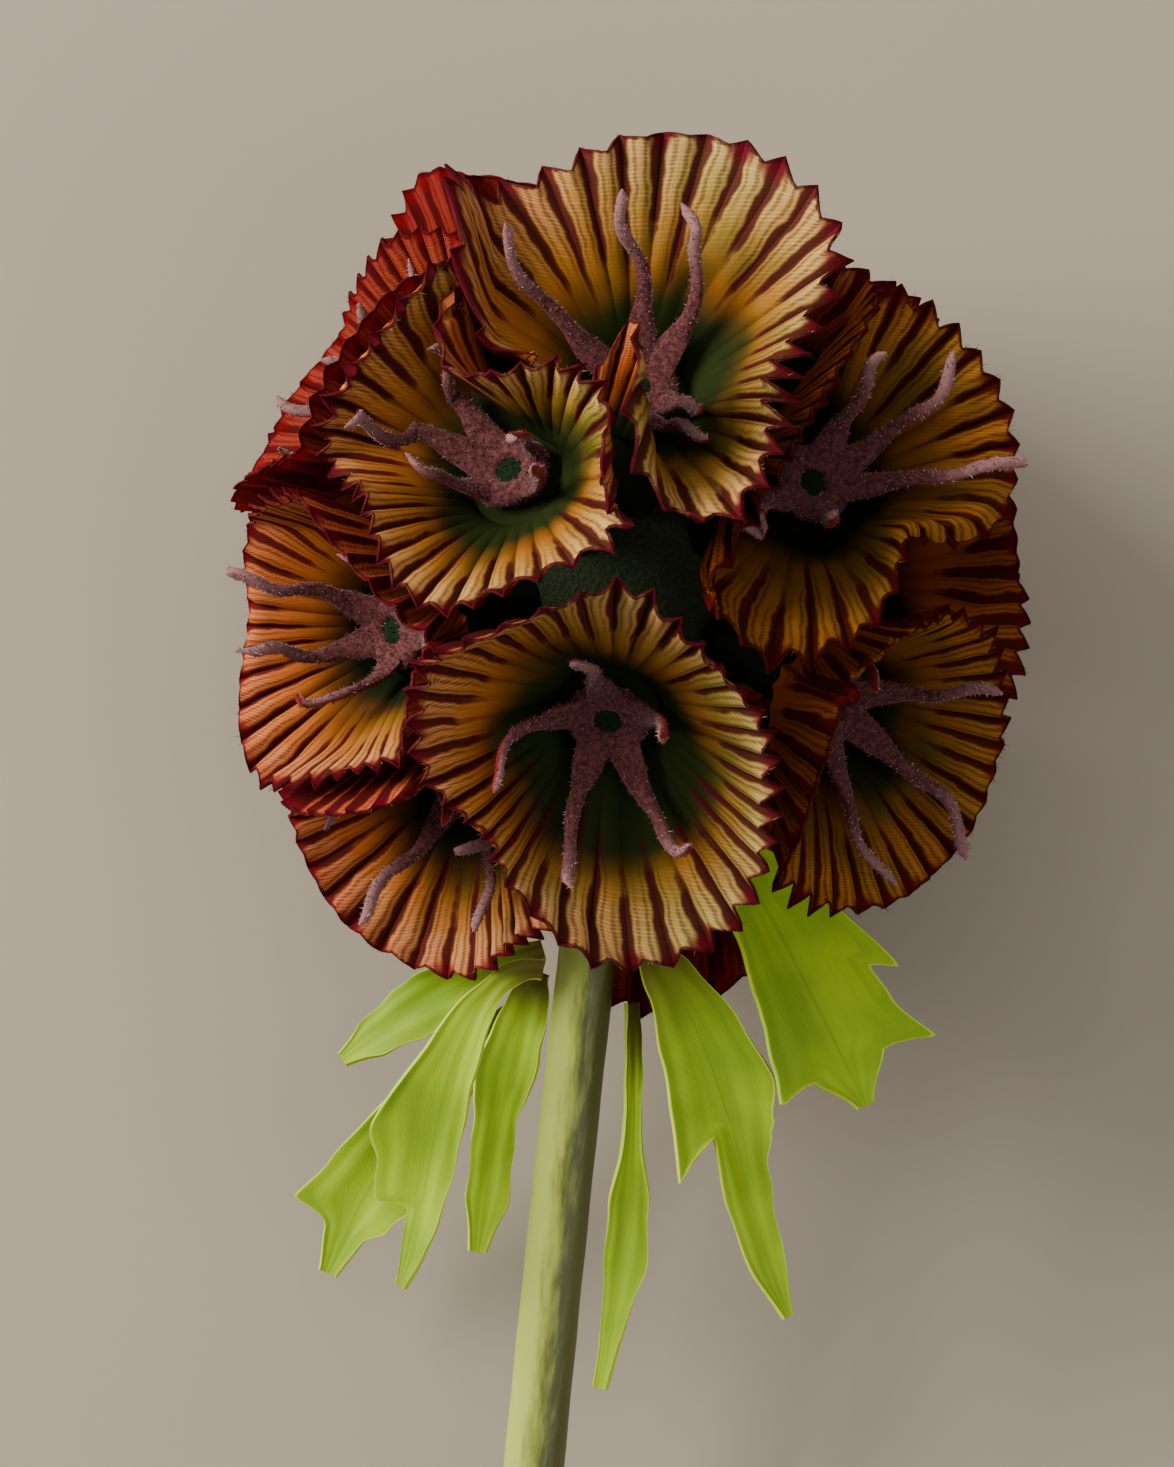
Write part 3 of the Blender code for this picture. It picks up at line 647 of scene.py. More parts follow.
class Graph:
    """Short calls that add shader nodes to one tree and link them."""

    def __init__(self, tree: NodeTree) -> None:
        """Keeps the tree."""
        self.tree = tree

    def node(self, kind: str, **values: object) -> Node:
        """Adds a node and sets its properties."""
        made = self.tree.nodes.new(kind)
        for name, value in values.items():
            setattr(made, name, value)
        return made

    def feed(self, socket: NodeSocket, value: object) -> None:
        """Links a socket, or sets its value."""
        if isinstance(value, NodeSocket):
            self.tree.links.new(value, socket)
        elif isinstance(value, tuple) and socket.type == "RGBA":
            socket.default_value = (*value, 1.0)
        else:
            socket.default_value = value

    def math(self, operation: str, *values: object) -> NodeSocket:
        """A Math node on sockets or numbers."""
        made = self.node("ShaderNodeMath", operation=operation)
        for socket, value in zip(made.inputs, values):
            self.feed(socket, value)
        return made.outputs[0]

    def times(self, first: object, second: object) -> NodeSocket:
        """The product of two numbers."""
        return self.math("MULTIPLY", first, second)

    def plus(self, first: object, second: object) -> NodeSocket:
        """The sum of two numbers."""
        return self.math("ADD", first, second)

    def minus(self, first: object, second: object) -> NodeSocket:
        """The difference of two numbers."""
        return self.math("SUBTRACT", first, second)

    def sway(self, value: object, size: float) -> NodeSocket:
        """Turns a value from 0 to 1 into one that sways evenly about zero."""
        return self.times(self.minus(value, 0.5), size)

    def split(self, vector: object) -> Sequence[NodeSocket]:
        """A vector's three numbers."""
        made = self.node("ShaderNodeSeparateXYZ")
        self.feed(made.inputs[0], vector)
        return made.outputs

    def span(
        self, value: object, low: float, high: float, start: float = 0.0, end: float = 1.0
    ) -> NodeSocket:
        """Eases a value that runs from low to high into one from start to end."""
        made = self.node("ShaderNodeMapRange", interpolation_type="SMOOTHSTEP")
        for name, number in (("From Min", low), ("From Max", high), ("To Min", start), ("To Max", end)):
            made.inputs[name].default_value = number
        self.feed(made.inputs["Value"], value)
        return made.outputs["Result"]

    def mix(self, share: object, first: object, second: object) -> NodeSocket:
        """Mixes two colours."""
        made = self.node("ShaderNodeMix", data_type="RGBA")
        self.feed(made.inputs[0], share)
        self.feed(made.inputs[6], first)
        self.feed(made.inputs[7], second)
        return made.outputs[2]

    def ramp(self, share: object, stops: Sequence[tuple[float, Colour]]) -> NodeSocket:
        """A colour ramp with a colour at each of its stops."""
        made = self.node("ShaderNodeValToRGB")
        made.color_ramp.elements.remove(made.color_ramp.elements[1])
        made.color_ramp.elements[0].position = stops[0][0]
        made.color_ramp.elements[0].color = (*stops[0][1], 1.0)
        for place, colour in stops[1:]:
            made.color_ramp.elements.new(place).color = (*colour, 1.0)
        self.feed(made.inputs[0], share)
        return made.outputs[0]

    def noise(self, vector: object, scale: float, detail: float = 2.0, rough: float = 0.5) -> NodeSocket:
        """A noise value on a vector."""
        made = self.node("ShaderNodeTexNoise")
        for name, value in (("Scale", scale), ("Detail", detail), ("Roughness", rough), ("Vector", vector)):
            self.feed(made.inputs[name], value)
        return made.outputs["Fac"]

    def stretch(self, vector: object, scale: tuple[float, float, float]) -> NodeSocket:
        """A vector scaled along each axis."""
        made = self.node("ShaderNodeVectorMath", operation="MULTIPLY")
        self.feed(made.inputs[0], vector)
        made.inputs[1].default_value = scale
        return made.outputs[0]

    def place(self) -> NodeSocket:
        """Object coordinates in millimetres."""
        return self.stretch(self.node("ShaderNodeTexCoord").outputs["Object"], (1 / MM, 1 / MM, 1 / MM))

    def read(self, name: str) -> NodeSocket:
        """A number that the mesh carries."""
        return self.node("ShaderNodeAttribute", attribute_name=name).outputs["Fac"]

    def flat(self) -> NodeSocket:
        """The piece's own UV map, where a cloth's place in its flat disc is kept."""
        return self.node("ShaderNodeUVMap", uv_map="flat").outputs[0]

    def group(self, tree: NodeTree, **values: object) -> Node:
        """Places a node group and feeds its inputs."""
        made = self.node("ShaderNodeGroup", node_tree=tree)
        for name, value in values.items():
            self.feed(made.inputs[name.replace("_", " ")], value)
        return made

    def bump(self, height: object, strength: float, depth: float) -> NodeSocket:
        """A normal bent by a height, with the depth in millimetres."""
        made = self.node("ShaderNodeBump")
        made.inputs["Strength"].default_value = strength
        made.inputs["Distance"].default_value = depth * MM
        self.feed(made.inputs["Height"], height)
        return made.outputs[0]


def new_group(
    name: str, inputs: Sequence[str], outputs: Sequence[str]
) -> tuple[Graph, Sequence[NodeSocket], Node]:
    """An empty shader node group.

    Args:
        name: The group's name.
        inputs: The names of its inputs, each a vector.
        outputs: The names of its outputs, each a number.

    Returns:
        The graph to build in, the inputs' sockets and the output node.
    """
    tree = bpy.data.node_groups.new(name, "ShaderNodeTree")
    for title in inputs:
        tree.interface.new_socket(title, in_out="INPUT", socket_type="NodeSocketVector")
    for title in outputs:
        tree.interface.new_socket(title, in_out="OUTPUT", socket_type="NodeSocketFloat")
    graph = Graph(tree)
    return graph, graph.node("NodeGroupInput").outputs, graph.node("NodeGroupOutput")


class Effects:
    """The shader groups that several finishes share, each built once."""

    def __init__(self) -> None:
        """Builds the groups."""
        self.pleats = self.pleat_dye()
        self.weave = self.ribbon_weave()
        self.mottle = self.mottled()

    @staticmethod
    def pleat_dye() -> NodeTree:
        """Where a pleated disc is dyed: the way to the rim, the stripes, the faint lines and the edge."""
        stripe_width, stripe_start = 0.22, 0.3
        marks = ("Way", "Stripe", "Faint", "Edge", "Tip")
        graph, source, result = new_group("pleat dye", ("Flat", "Place"), marks)
        parts = graph.split(source["Flat"])
        turn = graph.math("ARCTAN2", parts[0], parts[1])
        wander = graph.noise(source["Place"], 0.45, 2.0)
        shifted = graph.plus(graph.times(turn, PLEATS / math.tau), graph.sway(wander, 0.35))
        pleat = graph.math("FLOOR", graph.plus(shifted, 0.5))
        away = graph.math("ABSOLUTE", graph.minus(shifted, pleat))
        chance = graph.node("ShaderNodeTexWhiteNoise", noise_dimensions="1D")
        graph.feed(chance.inputs["W"], pleat)
        luck = chance.outputs["Value"]
        length = graph.node("ShaderNodeVectorMath", operation="LENGTH")
        graph.feed(length.inputs[0], source["Flat"])
        throat = THROAT_RADIUS / FLAT_RADIUS
        way = graph.math("DIVIDE", graph.minus(length.outputs["Value"], throat), 1 - throat)
        start = graph.plus(graph.plus(stripe_start, graph.sway(luck, 0.3)), graph.sway(wander, 0.5))
        grown = graph.minus(way, start)
        strength = graph.span(grown, 0.0, 0.28)
        width = graph.times(stripe_width, graph.math("MULTIPLY_ADD", strength, 0.7, 0.3))
        stripe = graph.times(graph.span(graph.math("DIVIDE", away, width), 1.2, 0.7), strength)
        beside = graph.math("ABSOLUTE", graph.minus(away, 0.36))
        faint = graph.times(graph.span(beside, 0.085, 0.02), graph.span(grown, 0.05, 0.5))
        fuzz = graph.sway(graph.noise(source["Place"], 2.2, 3.0), 0.05)
        edge = graph.span(graph.plus(way, fuzz), 0.972, 0.99)
        blotch = graph.plus(graph.times(graph.span(away, 0.5, 0.1), 0.5), graph.times(luck, 0.6))
        near = graph.span(graph.plus(way, graph.times(blotch, 0.1)), 0.97, 1.06)
        tip = graph.times(near, graph.span(blotch, 0.3, 0.8))
        for name, value in zip(marks, (way, stripe, faint, edge, tip)):
            graph.feed(result.inputs[name], value)
        return graph.tree

    @staticmethod
    def ribbon_weave() -> NodeTree:
        """The threads of woven ribbon: their height, and a painted highlight that follows the crosswise ones.
        """
        turns = THREADS * math.tau
        graph, source, result = new_group("ribbon weave", ("Flat", "Place"), ("Height", "ThreadHighlight"))
        parts = graph.split(source["Flat"])
        loose = graph.sway(graph.noise(source["Place"], 0.6, 2.0), 0.9)
        across = graph.math("SINE", graph.plus(graph.times(parts[1], turns), loose))
        along = graph.math("SINE", graph.times(parts[0], turns))
        uneven = graph.noise(graph.stretch(source["Flat"], (12.0, 160.0, 1.0)), 1.0, 1.0)
        graph.feed(result.inputs["Height"], graph.math("MULTIPLY_ADD", along, 0.35, across))
        # Painted highlight along the crosswise threads.
        thread_highlight = graph.times(graph.span(across, -0.4, 1.0), graph.span(uneven, 0.3, 0.7))
        graph.feed(result.inputs["ThreadHighlight"], thread_highlight)
        return graph.tree

    @staticmethod
    def mottled() -> NodeTree:
        """Broad and fine unevenness of a dye or of a skin, each from 0 to 1."""
        graph, source, result = new_group("mottled", ("Place",), ("Broad", "Fine"))
        for name, scale, detail, rough in (("Broad", 0.16, 2.0, 0.5), ("Fine", 3.0, 3.0, 0.65)):
            uneven = graph.noise(source["Place"], scale, detail, rough)
            graph.feed(result.inputs[name], graph.span(uneven, 0.3, 0.7))
        return graph.tree


def new_material(name: str, roughness: float, **values: float) -> tuple[Graph, Node, Material]:
    """A material with one Principled shader.

    Args:
        name: The material's name.
        roughness: Its plain roughness.
        **values: More of the shader's own numbers, by socket name with underscores.

    Returns:
        The graph to build in, the shader and the material.
    """
    made = bpy.data.materials.new(name)
    made.use_nodes = True
    shader = made.node_tree.nodes["Principled BSDF"]
    shader.inputs["Roughness"].default_value = roughness
    for socket, value in values.items():
        shader.inputs[socket.replace("_", " ")].default_value = value
    return Graph(made.node_tree), shader, made


@dataclass(frozen=True)
class ClothFinish:
    """Pleated ribbon cloth, dyed from the throat out, with dark stripes, a dark edge, a painted highlight on
    its threads, and painted shade deep in the throat and on each cup's left part.
    """

    dye: Dye
    throat: Colour
    inner: Colour
    middle: Colour
    outer: Colour
    warm: Colour
    stripe: Colour
    edge: Colour
    thread_highlight: Colour
    reverse: Colour
    blushed: Colour = (0.42, 0.045, 0.012)
    blush: float = 0.35

    def make(self, effects: Effects) -> Material:
        """Builds the material."""
        graph, shader, made = new_material(self.dye.value, 0.8, Specular_IOR_Level=0.07)
        place, flat = graph.place(), graph.flat()
        dye = graph.group(effects.pleats, Flat=flat, Place=place)
        weave = graph.group(effects.weave, Flat=flat, Place=place)
        uneven = graph.group(effects.mottle, Place=place)
        way = graph.math("MULTIPLY_ADD", uneven.outputs["Broad"], 0.16, graph.minus(dye.outputs["Way"], 0.08))
        # Painted shade: the green attribute carries the throat's dark green, deepened by painted shade, up
        # the wall.
        way = graph.minus(way, graph.read("green"))
        # The throat and inner stops are the throat's green dye, darkened further as painted shade in the deep
        # funnel.
        stops = ((0.08, self.throat), (0.38, self.inner), (0.66, self.middle), (0.95, self.outer))
        ground = graph.ramp(way, stops)
        # Random warm patches of dye, and painted shade: a rust dye on each cup's left (-X) part.
        warmth = graph.math("MAXIMUM", graph.times(uneven.outputs["Broad"], 0.6), graph.read("warmth"))
        ground = graph.mix(graph.times(warmth, 0.75), ground, self.warm)
        ground = graph.mix(graph.times(graph.read("reverse"), 0.75), ground, self.reverse)
        ground = graph.mix(graph.span(way, 0.72, 1.0, 0.0, self.blush), ground, self.blushed)
        # Painted shade: the near-black throat colour spreads over the lower wall.
        ground = graph.mix(graph.span(way, 0.08, 0.46, 1.0, 0.0), ground, self.throat)
        ground = graph.mix(graph.times(dye.outputs["Faint"], 0.6), ground, self.stripe)
        # Painted highlight on the crosswise threads, stronger towards the rim.
        thread_highlight_share = graph.times(weave.outputs["ThreadHighlight"], graph.span(way, 0.3, 0.95, 0.0, 0.22))
        ground = graph.mix(thread_highlight_share, ground, self.thread_highlight)
        marks = (("Stripe", 0.94, self.stripe), ("Tip", 0.85, self.edge), ("Edge", 0.9, self.stripe))
        for name, share, colour in marks:
            ground = graph.mix(graph.times(dye.outputs[name], share), ground, colour)
        graph.feed(shader.inputs["Base Color"], ground)
        graph.feed(shader.inputs["Normal"], graph.bump(weave.outputs["Height"], 0.12, 0.04))
        return made


@dataclass(frozen=True)
class FlockFinish:
    """Short velvet flock, dusty on top and dark red underneath, with a green middle and pale fibres that grow
    more towards the arm tips as a painted highlight.
    """

    slot: str = "flock_mauve"
    dark: Colour = (0.045, 0.010, 0.010)
    dusty: Colour = (0.125, 0.040, 0.040)
    pale: Colour = (0.55, 0.30, 0.29)
    under: Colour = (0.14, 0.006, 0.005)
    green: Colour = (0.004, 0.013, 0.003)

    def make(self, effects: Effects) -> Material:
        """Builds the material."""
        graph, shader, made = new_material(
            self.slot, 0.95, Sheen_Weight=0.16, Sheen_Roughness=0.4, Specular_IOR_Level=0.1
        )
        uneven = graph.group(effects.mottle, Place=graph.place())
        nap = graph.mix(uneven.outputs["Fine"], self.dark, self.dusty)
        for name, colour in (("pale_fibre_and_highlight", self.pale), ("under", self.under), ("green", self.green)):
            nap = graph.mix(graph.read(name), nap, colour)
        graph.feed(shader.inputs["Base Color"], nap)
        return made


@dataclass(frozen=True)
class LeafFinish:
    """Printed leaf cloth: bright yellow-green with a lighter edge, faint veins, olive towards the foot, and
    painted shade along the folded middle.
    """

    slot: str = "leaf_green"
    bright: Colour = (0.31, 0.46, 0.006)
    deep: Colour = (0.11, 0.22, 0.004)
    olive: Colour = (0.13, 0.10, 0.010)
    edge: Colour = (0.44, 0.57, 0.035)

    def make(self, effects: Effects) -> Material:
        """Builds the material."""
        graph, shader, made = new_material(self.slot, 0.6, Specular_IOR_Level=0.2)
        place, flat = graph.place(), graph.flat()
        uneven = graph.group(effects.mottle, Place=place)
        parts = graph.split(flat)
        veins = graph.noise(graph.stretch(flat, (9.0, 1.2, 1.0)), 1.0, 2.0)
        colour = graph.mix(graph.span(veins, 0.35, 0.68, 0.0, 0.3), self.bright, self.deep)
        colour = graph.mix(graph.times(uneven.outputs["Broad"], 0.6), colour, self.deep)
        colour = graph.mix(graph.span(parts[1], 0.35, 0.0), colour, self.olive)
        side = graph.math("ABSOLUTE", graph.math("MULTIPLY_ADD", parts[0], 2.0, -1.0))
        colour = graph.mix(graph.span(side, 0.955, 0.985), colour, self.edge)
        # Painted shade along the folded middle of the blade.
        colour = graph.mix(graph.times(graph.span(side, 0.05, 0.0), 0.45), colour, self.deep)
        weave = graph.math("SINE", graph.times(graph.plus(parts[0], parts[1]), 190.0))
        graph.feed(shader.inputs["Base Color"], colour)
        height = graph.math("MULTIPLY_ADD", weave, 0.3, veins)
        graph.feed(shader.inputs["Normal"], graph.bump(height, 0.13, 0.06))
        return made


@dataclass(frozen=True)
class StemFinish:
    """A waxy stem with painted light and shade: pale yellow green on the side towards the key light, olive on
    the other, and brownish towards the cut end.
    """

    slot: str = "stem_green"
    pale: Colour = (0.38, 0.45, 0.07)
    dark: Colour = (0.070, 0.078, 0.008)
    brown: Colour = (0.16, 0.075, 0.018)

    def make(self, effects: Effects) -> Material:
        """Builds the material."""
        graph, shader, made = new_material(self.slot, 0.45)
        place = graph.place()
        uneven = graph.group(effects.mottle, Place=place)
        streak = graph.noise(graph.stretch(place, (1.6, 0.09, 1.6)), 1.0, 3.0, 0.6)
        shade = graph.plus(graph.read("shade"), graph.sway(streak, 0.9))
        # Painted light and shade: pale on the stem's -X side, towards the key light, dark olive on its +X
        # side.
        colour = graph.mix(graph.span(shade, 0.25, 0.8), self.pale, self.dark)
        age = graph.times(graph.span(graph.read("along"), 0.2, 1.0), uneven.outputs["Broad"])
        colour = graph.mix(age, colour, self.brown)
        graph.feed(shader.inputs["Base Color"], colour)
        graph.feed(shader.inputs["Normal"], graph.bump(streak, 0.35, 0.15))
        return made


@dataclass(frozen=True)
class BallFinish:
    """The dark green, rough receptacle."""

    slot: str = "ball_green"
    dark: Colour = (0.012, 0.022, 0.006)
    light: Colour = (0.03, 0.048, 0.008)

    def make(self, effects: Effects) -> Material:
        """Builds the material."""
        graph, shader, made = new_material(self.slot, 0.95)
        uneven = graph.group(effects.mottle, Place=graph.place())
        graph.feed(shader.inputs["Base Color"], graph.mix(uneven.outputs["Fine"], self.dark, self.light))
        graph.feed(shader.inputs["Normal"], graph.bump(uneven.outputs["Fine"], 0.8, 0.4))
        return made


# In each finish, the throat and inner colours are green dye deepened as painted shade, the warm colour also
# paints shade on each cup's left part, and the thread colour paints a highlight.
CLOTH_FINISHES = (
    ClothFinish(
        Dye.OLIVE,
        throat=(0.011, 0.017, 0.002), inner=(0.070, 0.072, 0.005),
        middle=(0.25, 0.185, 0.022), outer=(0.50, 0.38, 0.105), warm=(0.40, 0.085, 0.008),
        stripe=(0.048, 0.001, 0.005), edge=(0.105, 0.001, 0.008), thread_highlight=(0.92, 0.74, 0.44),
        reverse=(0.40, 0.060, 0.008), blush=0.2,
    ),
    # Brown dye, darkened further as painted shade for the cups on the right, away from the key light.
    ClothFinish(
        Dye.BROWN,
        throat=(0.003, 0.006, 0.001), inner=(0.045, 0.036, 0.003),
        middle=(0.15, 0.066, 0.005), outer=(0.29, 0.140, 0.016), warm=(0.26, 0.055, 0.007),
        stripe=(0.038, 0.001, 0.001), edge=(0.08, 0.001, 0.002), thread_highlight=(0.60, 0.31, 0.07),
        reverse=(0.28, 0.050, 0.006), blushed=(0.24, 0.030, 0.006),
    ),
    ClothFinish(
        Dye.RUST,
        throat=(0.004, 0.008, 0.001), inner=(0.095, 0.080, 0.006),
        middle=(0.36, 0.16, 0.026), outer=(0.58, 0.35, 0.135), warm=(0.40, 0.055, 0.006),
        stripe=(0.055, 0.001, 0.004), edge=(0.13, 0.001, 0.008), thread_highlight=(0.88, 0.54, 0.27),
        reverse=(0.44, 0.045, 0.010), blush=0.55,
    ),
    ClothFinish(
        Dye.RED,
        throat=(0.004, 0.007, 0.001), inner=(0.12, 0.05, 0.005),
        middle=(0.22, 0.030, 0.007), outer=(0.27, 0.048, 0.014), warm=(0.20, 0.012, 0.007),
        stripe=(0.055, 0.001, 0.002), edge=(0.16, 0.001, 0.003), thread_highlight=(0.52, 0.15, 0.07),
        reverse=(0.22, 0.013, 0.008), blushed=(0.22, 0.007, 0.010), blush=0.7,
    ),
)


class Bristles:
    """Many small pointed fibres as one mesh, each a copy of one three-sided spike."""

    def __init__(self) -> None:
        """Models the spike: a primitive cone with three sides, standing on its base."""
        cone = bpy.ops.mesh.primitive_cone_add
        self.spike = Shop.primitive("spike", cone, vertices=3, radius1=1.0, radius2=0.0, depth=1.0)
        with Shop.editing():
            bpy.ops.transform.translate(value=(0.0, 0.0, 0.5))
        self.corners = Shop.points(self.spike)
        self.faces = [tuple(face.vertices) for face in self.spike.data.polygons]

    def grow(self, name: str, roots: Array, ways: Array, lengths: Array, radius: float) -> Object:
        """Sets a spike at each root.

        Args:
            name: The new object's name.
            roots: Where each spike stands, in millimetres from the head's centre.
            ways: The unit vector along each.
            lengths: How long each is, in millimetres.
            radius: How thick they are at the root, in millimetres.

        Returns:
            The new object.
        """
        aside = unit(np.cross(ways, np.array((0.31, 0.23, 0.92))))
        third = np.cross(ways, aside)
        shape = self.corners[None]
        points = (
            roots[:, None]
            + aside[:, None] * (shape[:, :, 0:1] * radius)
            + third[:, None] * (shape[:, :, 1:2] * radius)
            + ways[:, None] * (shape[:, :, 2:3] * lengths[:, None, None])
        )
        firsts = range(0, len(roots) * len(self.corners), len(self.corners))
        faces = [tuple(first + corner for corner in face) for first in firsts for face in self.faces]
        mesh = bpy.data.meshes.new(name)
        mesh.from_pydata(Shop.metres(points.reshape(-1, 3), 0.0).tolist(), [], faces)
        made = bpy.data.objects.new(name, mesh)
        bpy.context.scene.collection.objects.link(made)
        return made

    def tidy(self) -> None:
        """Takes the pattern spike away."""
        bpy.data.objects.remove(self.spike)


@dataclass
class CupMaker:
    """Makes every cup from one flat disc of cloth.

    The frays' lengths are the least and what chance adds at most. The left shade numbers are how the painted
    shade on a cup's left part falls off across it, and the green shade numbers are where the throat's green
    and painted shade fade out, in millimetres.
    """

    bristles: Bristles
    finishes: dict[Dye, Material]
    around: int = PLEATS * 8
    rings: int = 22
    throat_rings: int = 3
    frays: int = 190
    fray_radius: float = 0.032
    fray_lean: float = 0.45
    fray_lengths: tuple[float, float] = (0.14, 0.6)
    crease: float = 50.0
    warm_middle: float = 0.3
    warm_width: float = 15.0
    green_shade_from: float = 7.0
    green_shade_fade: float = 6.0
    neck_sunk: float = 0.3
    neck_top: float = 0.9

    def __post_init__(self) -> None:
        """Models the disc and the neck once."""
        self.disc = self.flat_disc()
        self.neck = self.plain_neck()

    def radii(self) -> list[float]:
        """The radius of each ring of the flat disc, from the rim in, in millimetres."""
        wall = np.linspace(FLAT_RADIUS, THROAT_RADIUS, self.rings + 1)
        inside = np.linspace(THROAT_RADIUS, 0.0, self.throat_rings + 1)[1:-1]
        return [*wall.tolist(), *inside.tolist()]

    def flat_disc(self) -> Object:
        """A flat disc, drawn in from its rim ring by ring, with its own place kept as a UV map."""
        radii = self.radii()
        circle = bpy.ops.mesh.primitive_circle_add
        disc = Shop.primitive("flat_disc", circle, vertices=self.around, radius=radii[0], fill_type="NOTHING")
        with Shop.editing():
            for outer, inner in zip(radii, radii[1:]):
                bpy.ops.mesh.extrude_region_move()
                share = inner / outer
                bpy.ops.transform.resize(value=(share, share, share), center_override=(0.0, 0.0, 0.0))
            bpy.ops.mesh.extrude_region_move()
            bpy.ops.mesh.merge(type="CENTER")
            Shop.face_out()
        Shop.lay_flat(disc, Shop.points(disc)[:, :2] / FLAT_RADIUS)
        return disc

    def plain_neck(self) -> Object:
        """The neck, standing on the ball's pole: a cone whose top is drawn out to meet the throat."""
        low, high = BALL_RADIUS - self.neck_sunk, THROAT_AT - NECK_SHOULDER
        neck = Shop.primitive(
            "plain_neck", bpy.ops.mesh.primitive_cone_add, vertices=24, radius1=NECK_TIP_RADIUS,
            radius2=NECK_RADIUS, depth=high - low, location=(0, 0, (low + high) / 2),
        )
        bpy.ops.object.transform_apply(location=True, rotation=True, scale=True)
        with Shop.editing("DESELECT"):
            bpy.ops.mesh.select_mode(type="FACE")
        for face in neck.data.polygons:
            face.select = face.normal.z > 0.9
        bpy.ops.object.mode_set(mode="EDIT")
        bpy.ops.mesh.extrude_region_move(TRANSFORM_OT_translate={"value": (0, 0, NECK_SHOULDER - CLOTH)})
        share = self.neck_top
        bpy.ops.transform.resize(value=(share, share, 1.0), center_override=(0.0, 0.0, THROAT_AT))
        bpy.ops.object.mode_set(mode="OBJECT")
        Shop.lay_flat(neck, np.tile((0.0, 0.2), (len(neck.data.vertices), 1)))
        return neck

    def make(self, cup: Cup) -> Object:
        """Builds one cup: pleated cloth on its neck, with frayed threads round the rim.

        Args:
            cup: Which cup.

        Returns:
            The finished piece.
        """
        form = CupForm(cup)
        cloth = Shop.copy(self.disc, f"{cup.name}_cloth")
        flat = Shop.points(cloth)
        out = np.linalg.norm(flat, axis=1)
        theta = np.degrees(np.arctan2(flat[:, 0], flat[:, 1]))
        past = out - THROAT_RADIUS
        way = past / np.where(past < 0, THROAT_RADIUS, WALL_LENGTH)
        Shop.place(cloth, form.cloth(theta, way))
        Shop.thicken(cloth, CLOTH)
        self.mark_reverse(cloth, form)
        neck = Shop.copy(self.neck, f"{cup.name}_neck")
        turned = Vector((0, 0, 1)).rotation_difference(Vector(cup.axis)).to_matrix()
        Shop.place(neck, Shop.points(neck) @ np.array(turned).T)
        whole = Shop.join([cloth, neck, self.frayed(cup, form)])
        Shop.dress(whole, self.finishes[cup.dye], self.crease)
        self.mark_dye_and_shade(whole, form)
        Shop.fit(whole, cup.dye.value, f"{cup.name}_cup")
        return whole

    def mark_dye_and_shade(self, whole: Object, form: CupForm) -> None:
        """Notes painted shade: warmer dye on the left, and how far the throat's green and painted shade
        reach.
        """
        out = Shop.points(whole) / MM - Shop.centre - form.throat
        # Painted shade: a rust dye that grows towards each cup's left (-X) part.
        Shop.note(whole, "warmth", np.clip(self.warm_middle - out[:, 0] / self.warm_width, 0.0, 1.0))
        # Painted shade: the throat's dark green reaches further up the wall towards the cup's green bearing.
        bearing, reach = form.cup.green
        towards = out @ form.spoke(np.array([bearing]))[0]
        away = np.linalg.norm(out - np.outer(out @ form.face, form.face), axis=1)
        facing = 0.5 + 0.5 * towards / np.maximum(away, 0.1)
        faded = smooth((away - self.green_shade_from) / self.green_shade_fade)
        Shop.note(whole, "green", reach * facing * (1 - faded))

    @staticmethod
    def mark_reverse(cloth: Object, form: CupForm) -> None:
        """Notes which of the shell's points lie on its outer side, where the dye is redder."""
        total = len(cloth.data.vertices)
        normals = np.empty(total * 3)
        cloth.data.vertices.foreach_get("normal", normals)
        first_half = np.arange(total) < total // 2
        faces_in = (normals.reshape(-1, 3)[first_half] @ form.face).sum() >= 0
        Shop.note(cloth, "reverse", first_half != faces_in)

    def frayed(self, cup: Cup, form: CupForm) -> Object:
        """Loose threads that stand out of the rim.

        Args:
            cup: Which cup.
            form: The cup's surface.

        Returns:
            The threads, with the rim's place as their UV map.
        """
        chance = np.random.default_rng(form.seed)
        theta = chance.uniform(0, 360, self.frays)
        rim = form.cloth(theta, np.full(self.frays, 0.99))
        inner = form.cloth(theta, np.full(self.frays, 0.9))
        ways = unit(unit(rim - inner) + chance.normal(0, self.fray_lean, (self.frays, 3)))
        least, more = self.fray_lengths
        lengths = least + more * chance.random(self.frays) ** 2.5
        threads = self.bristles.grow(f"{cup.name}_frays", rim, ways, lengths, self.fray_radius)
        turns = np.radians(theta)
        shades = chance.uniform(0.86, 0.99, self.frays)
        places = np.stack((np.sin(turns) * shades, np.cos(turns) * shades), axis=1)
        Shop.lay_flat(threads, np.repeat(places, len(self.bristles.corners), axis=0))
        return threads

    def tidy(self) -> None:
        """Takes the patterns away."""
        bpy.data.objects.remove(self.disc)
        bpy.data.objects.remove(self.neck)


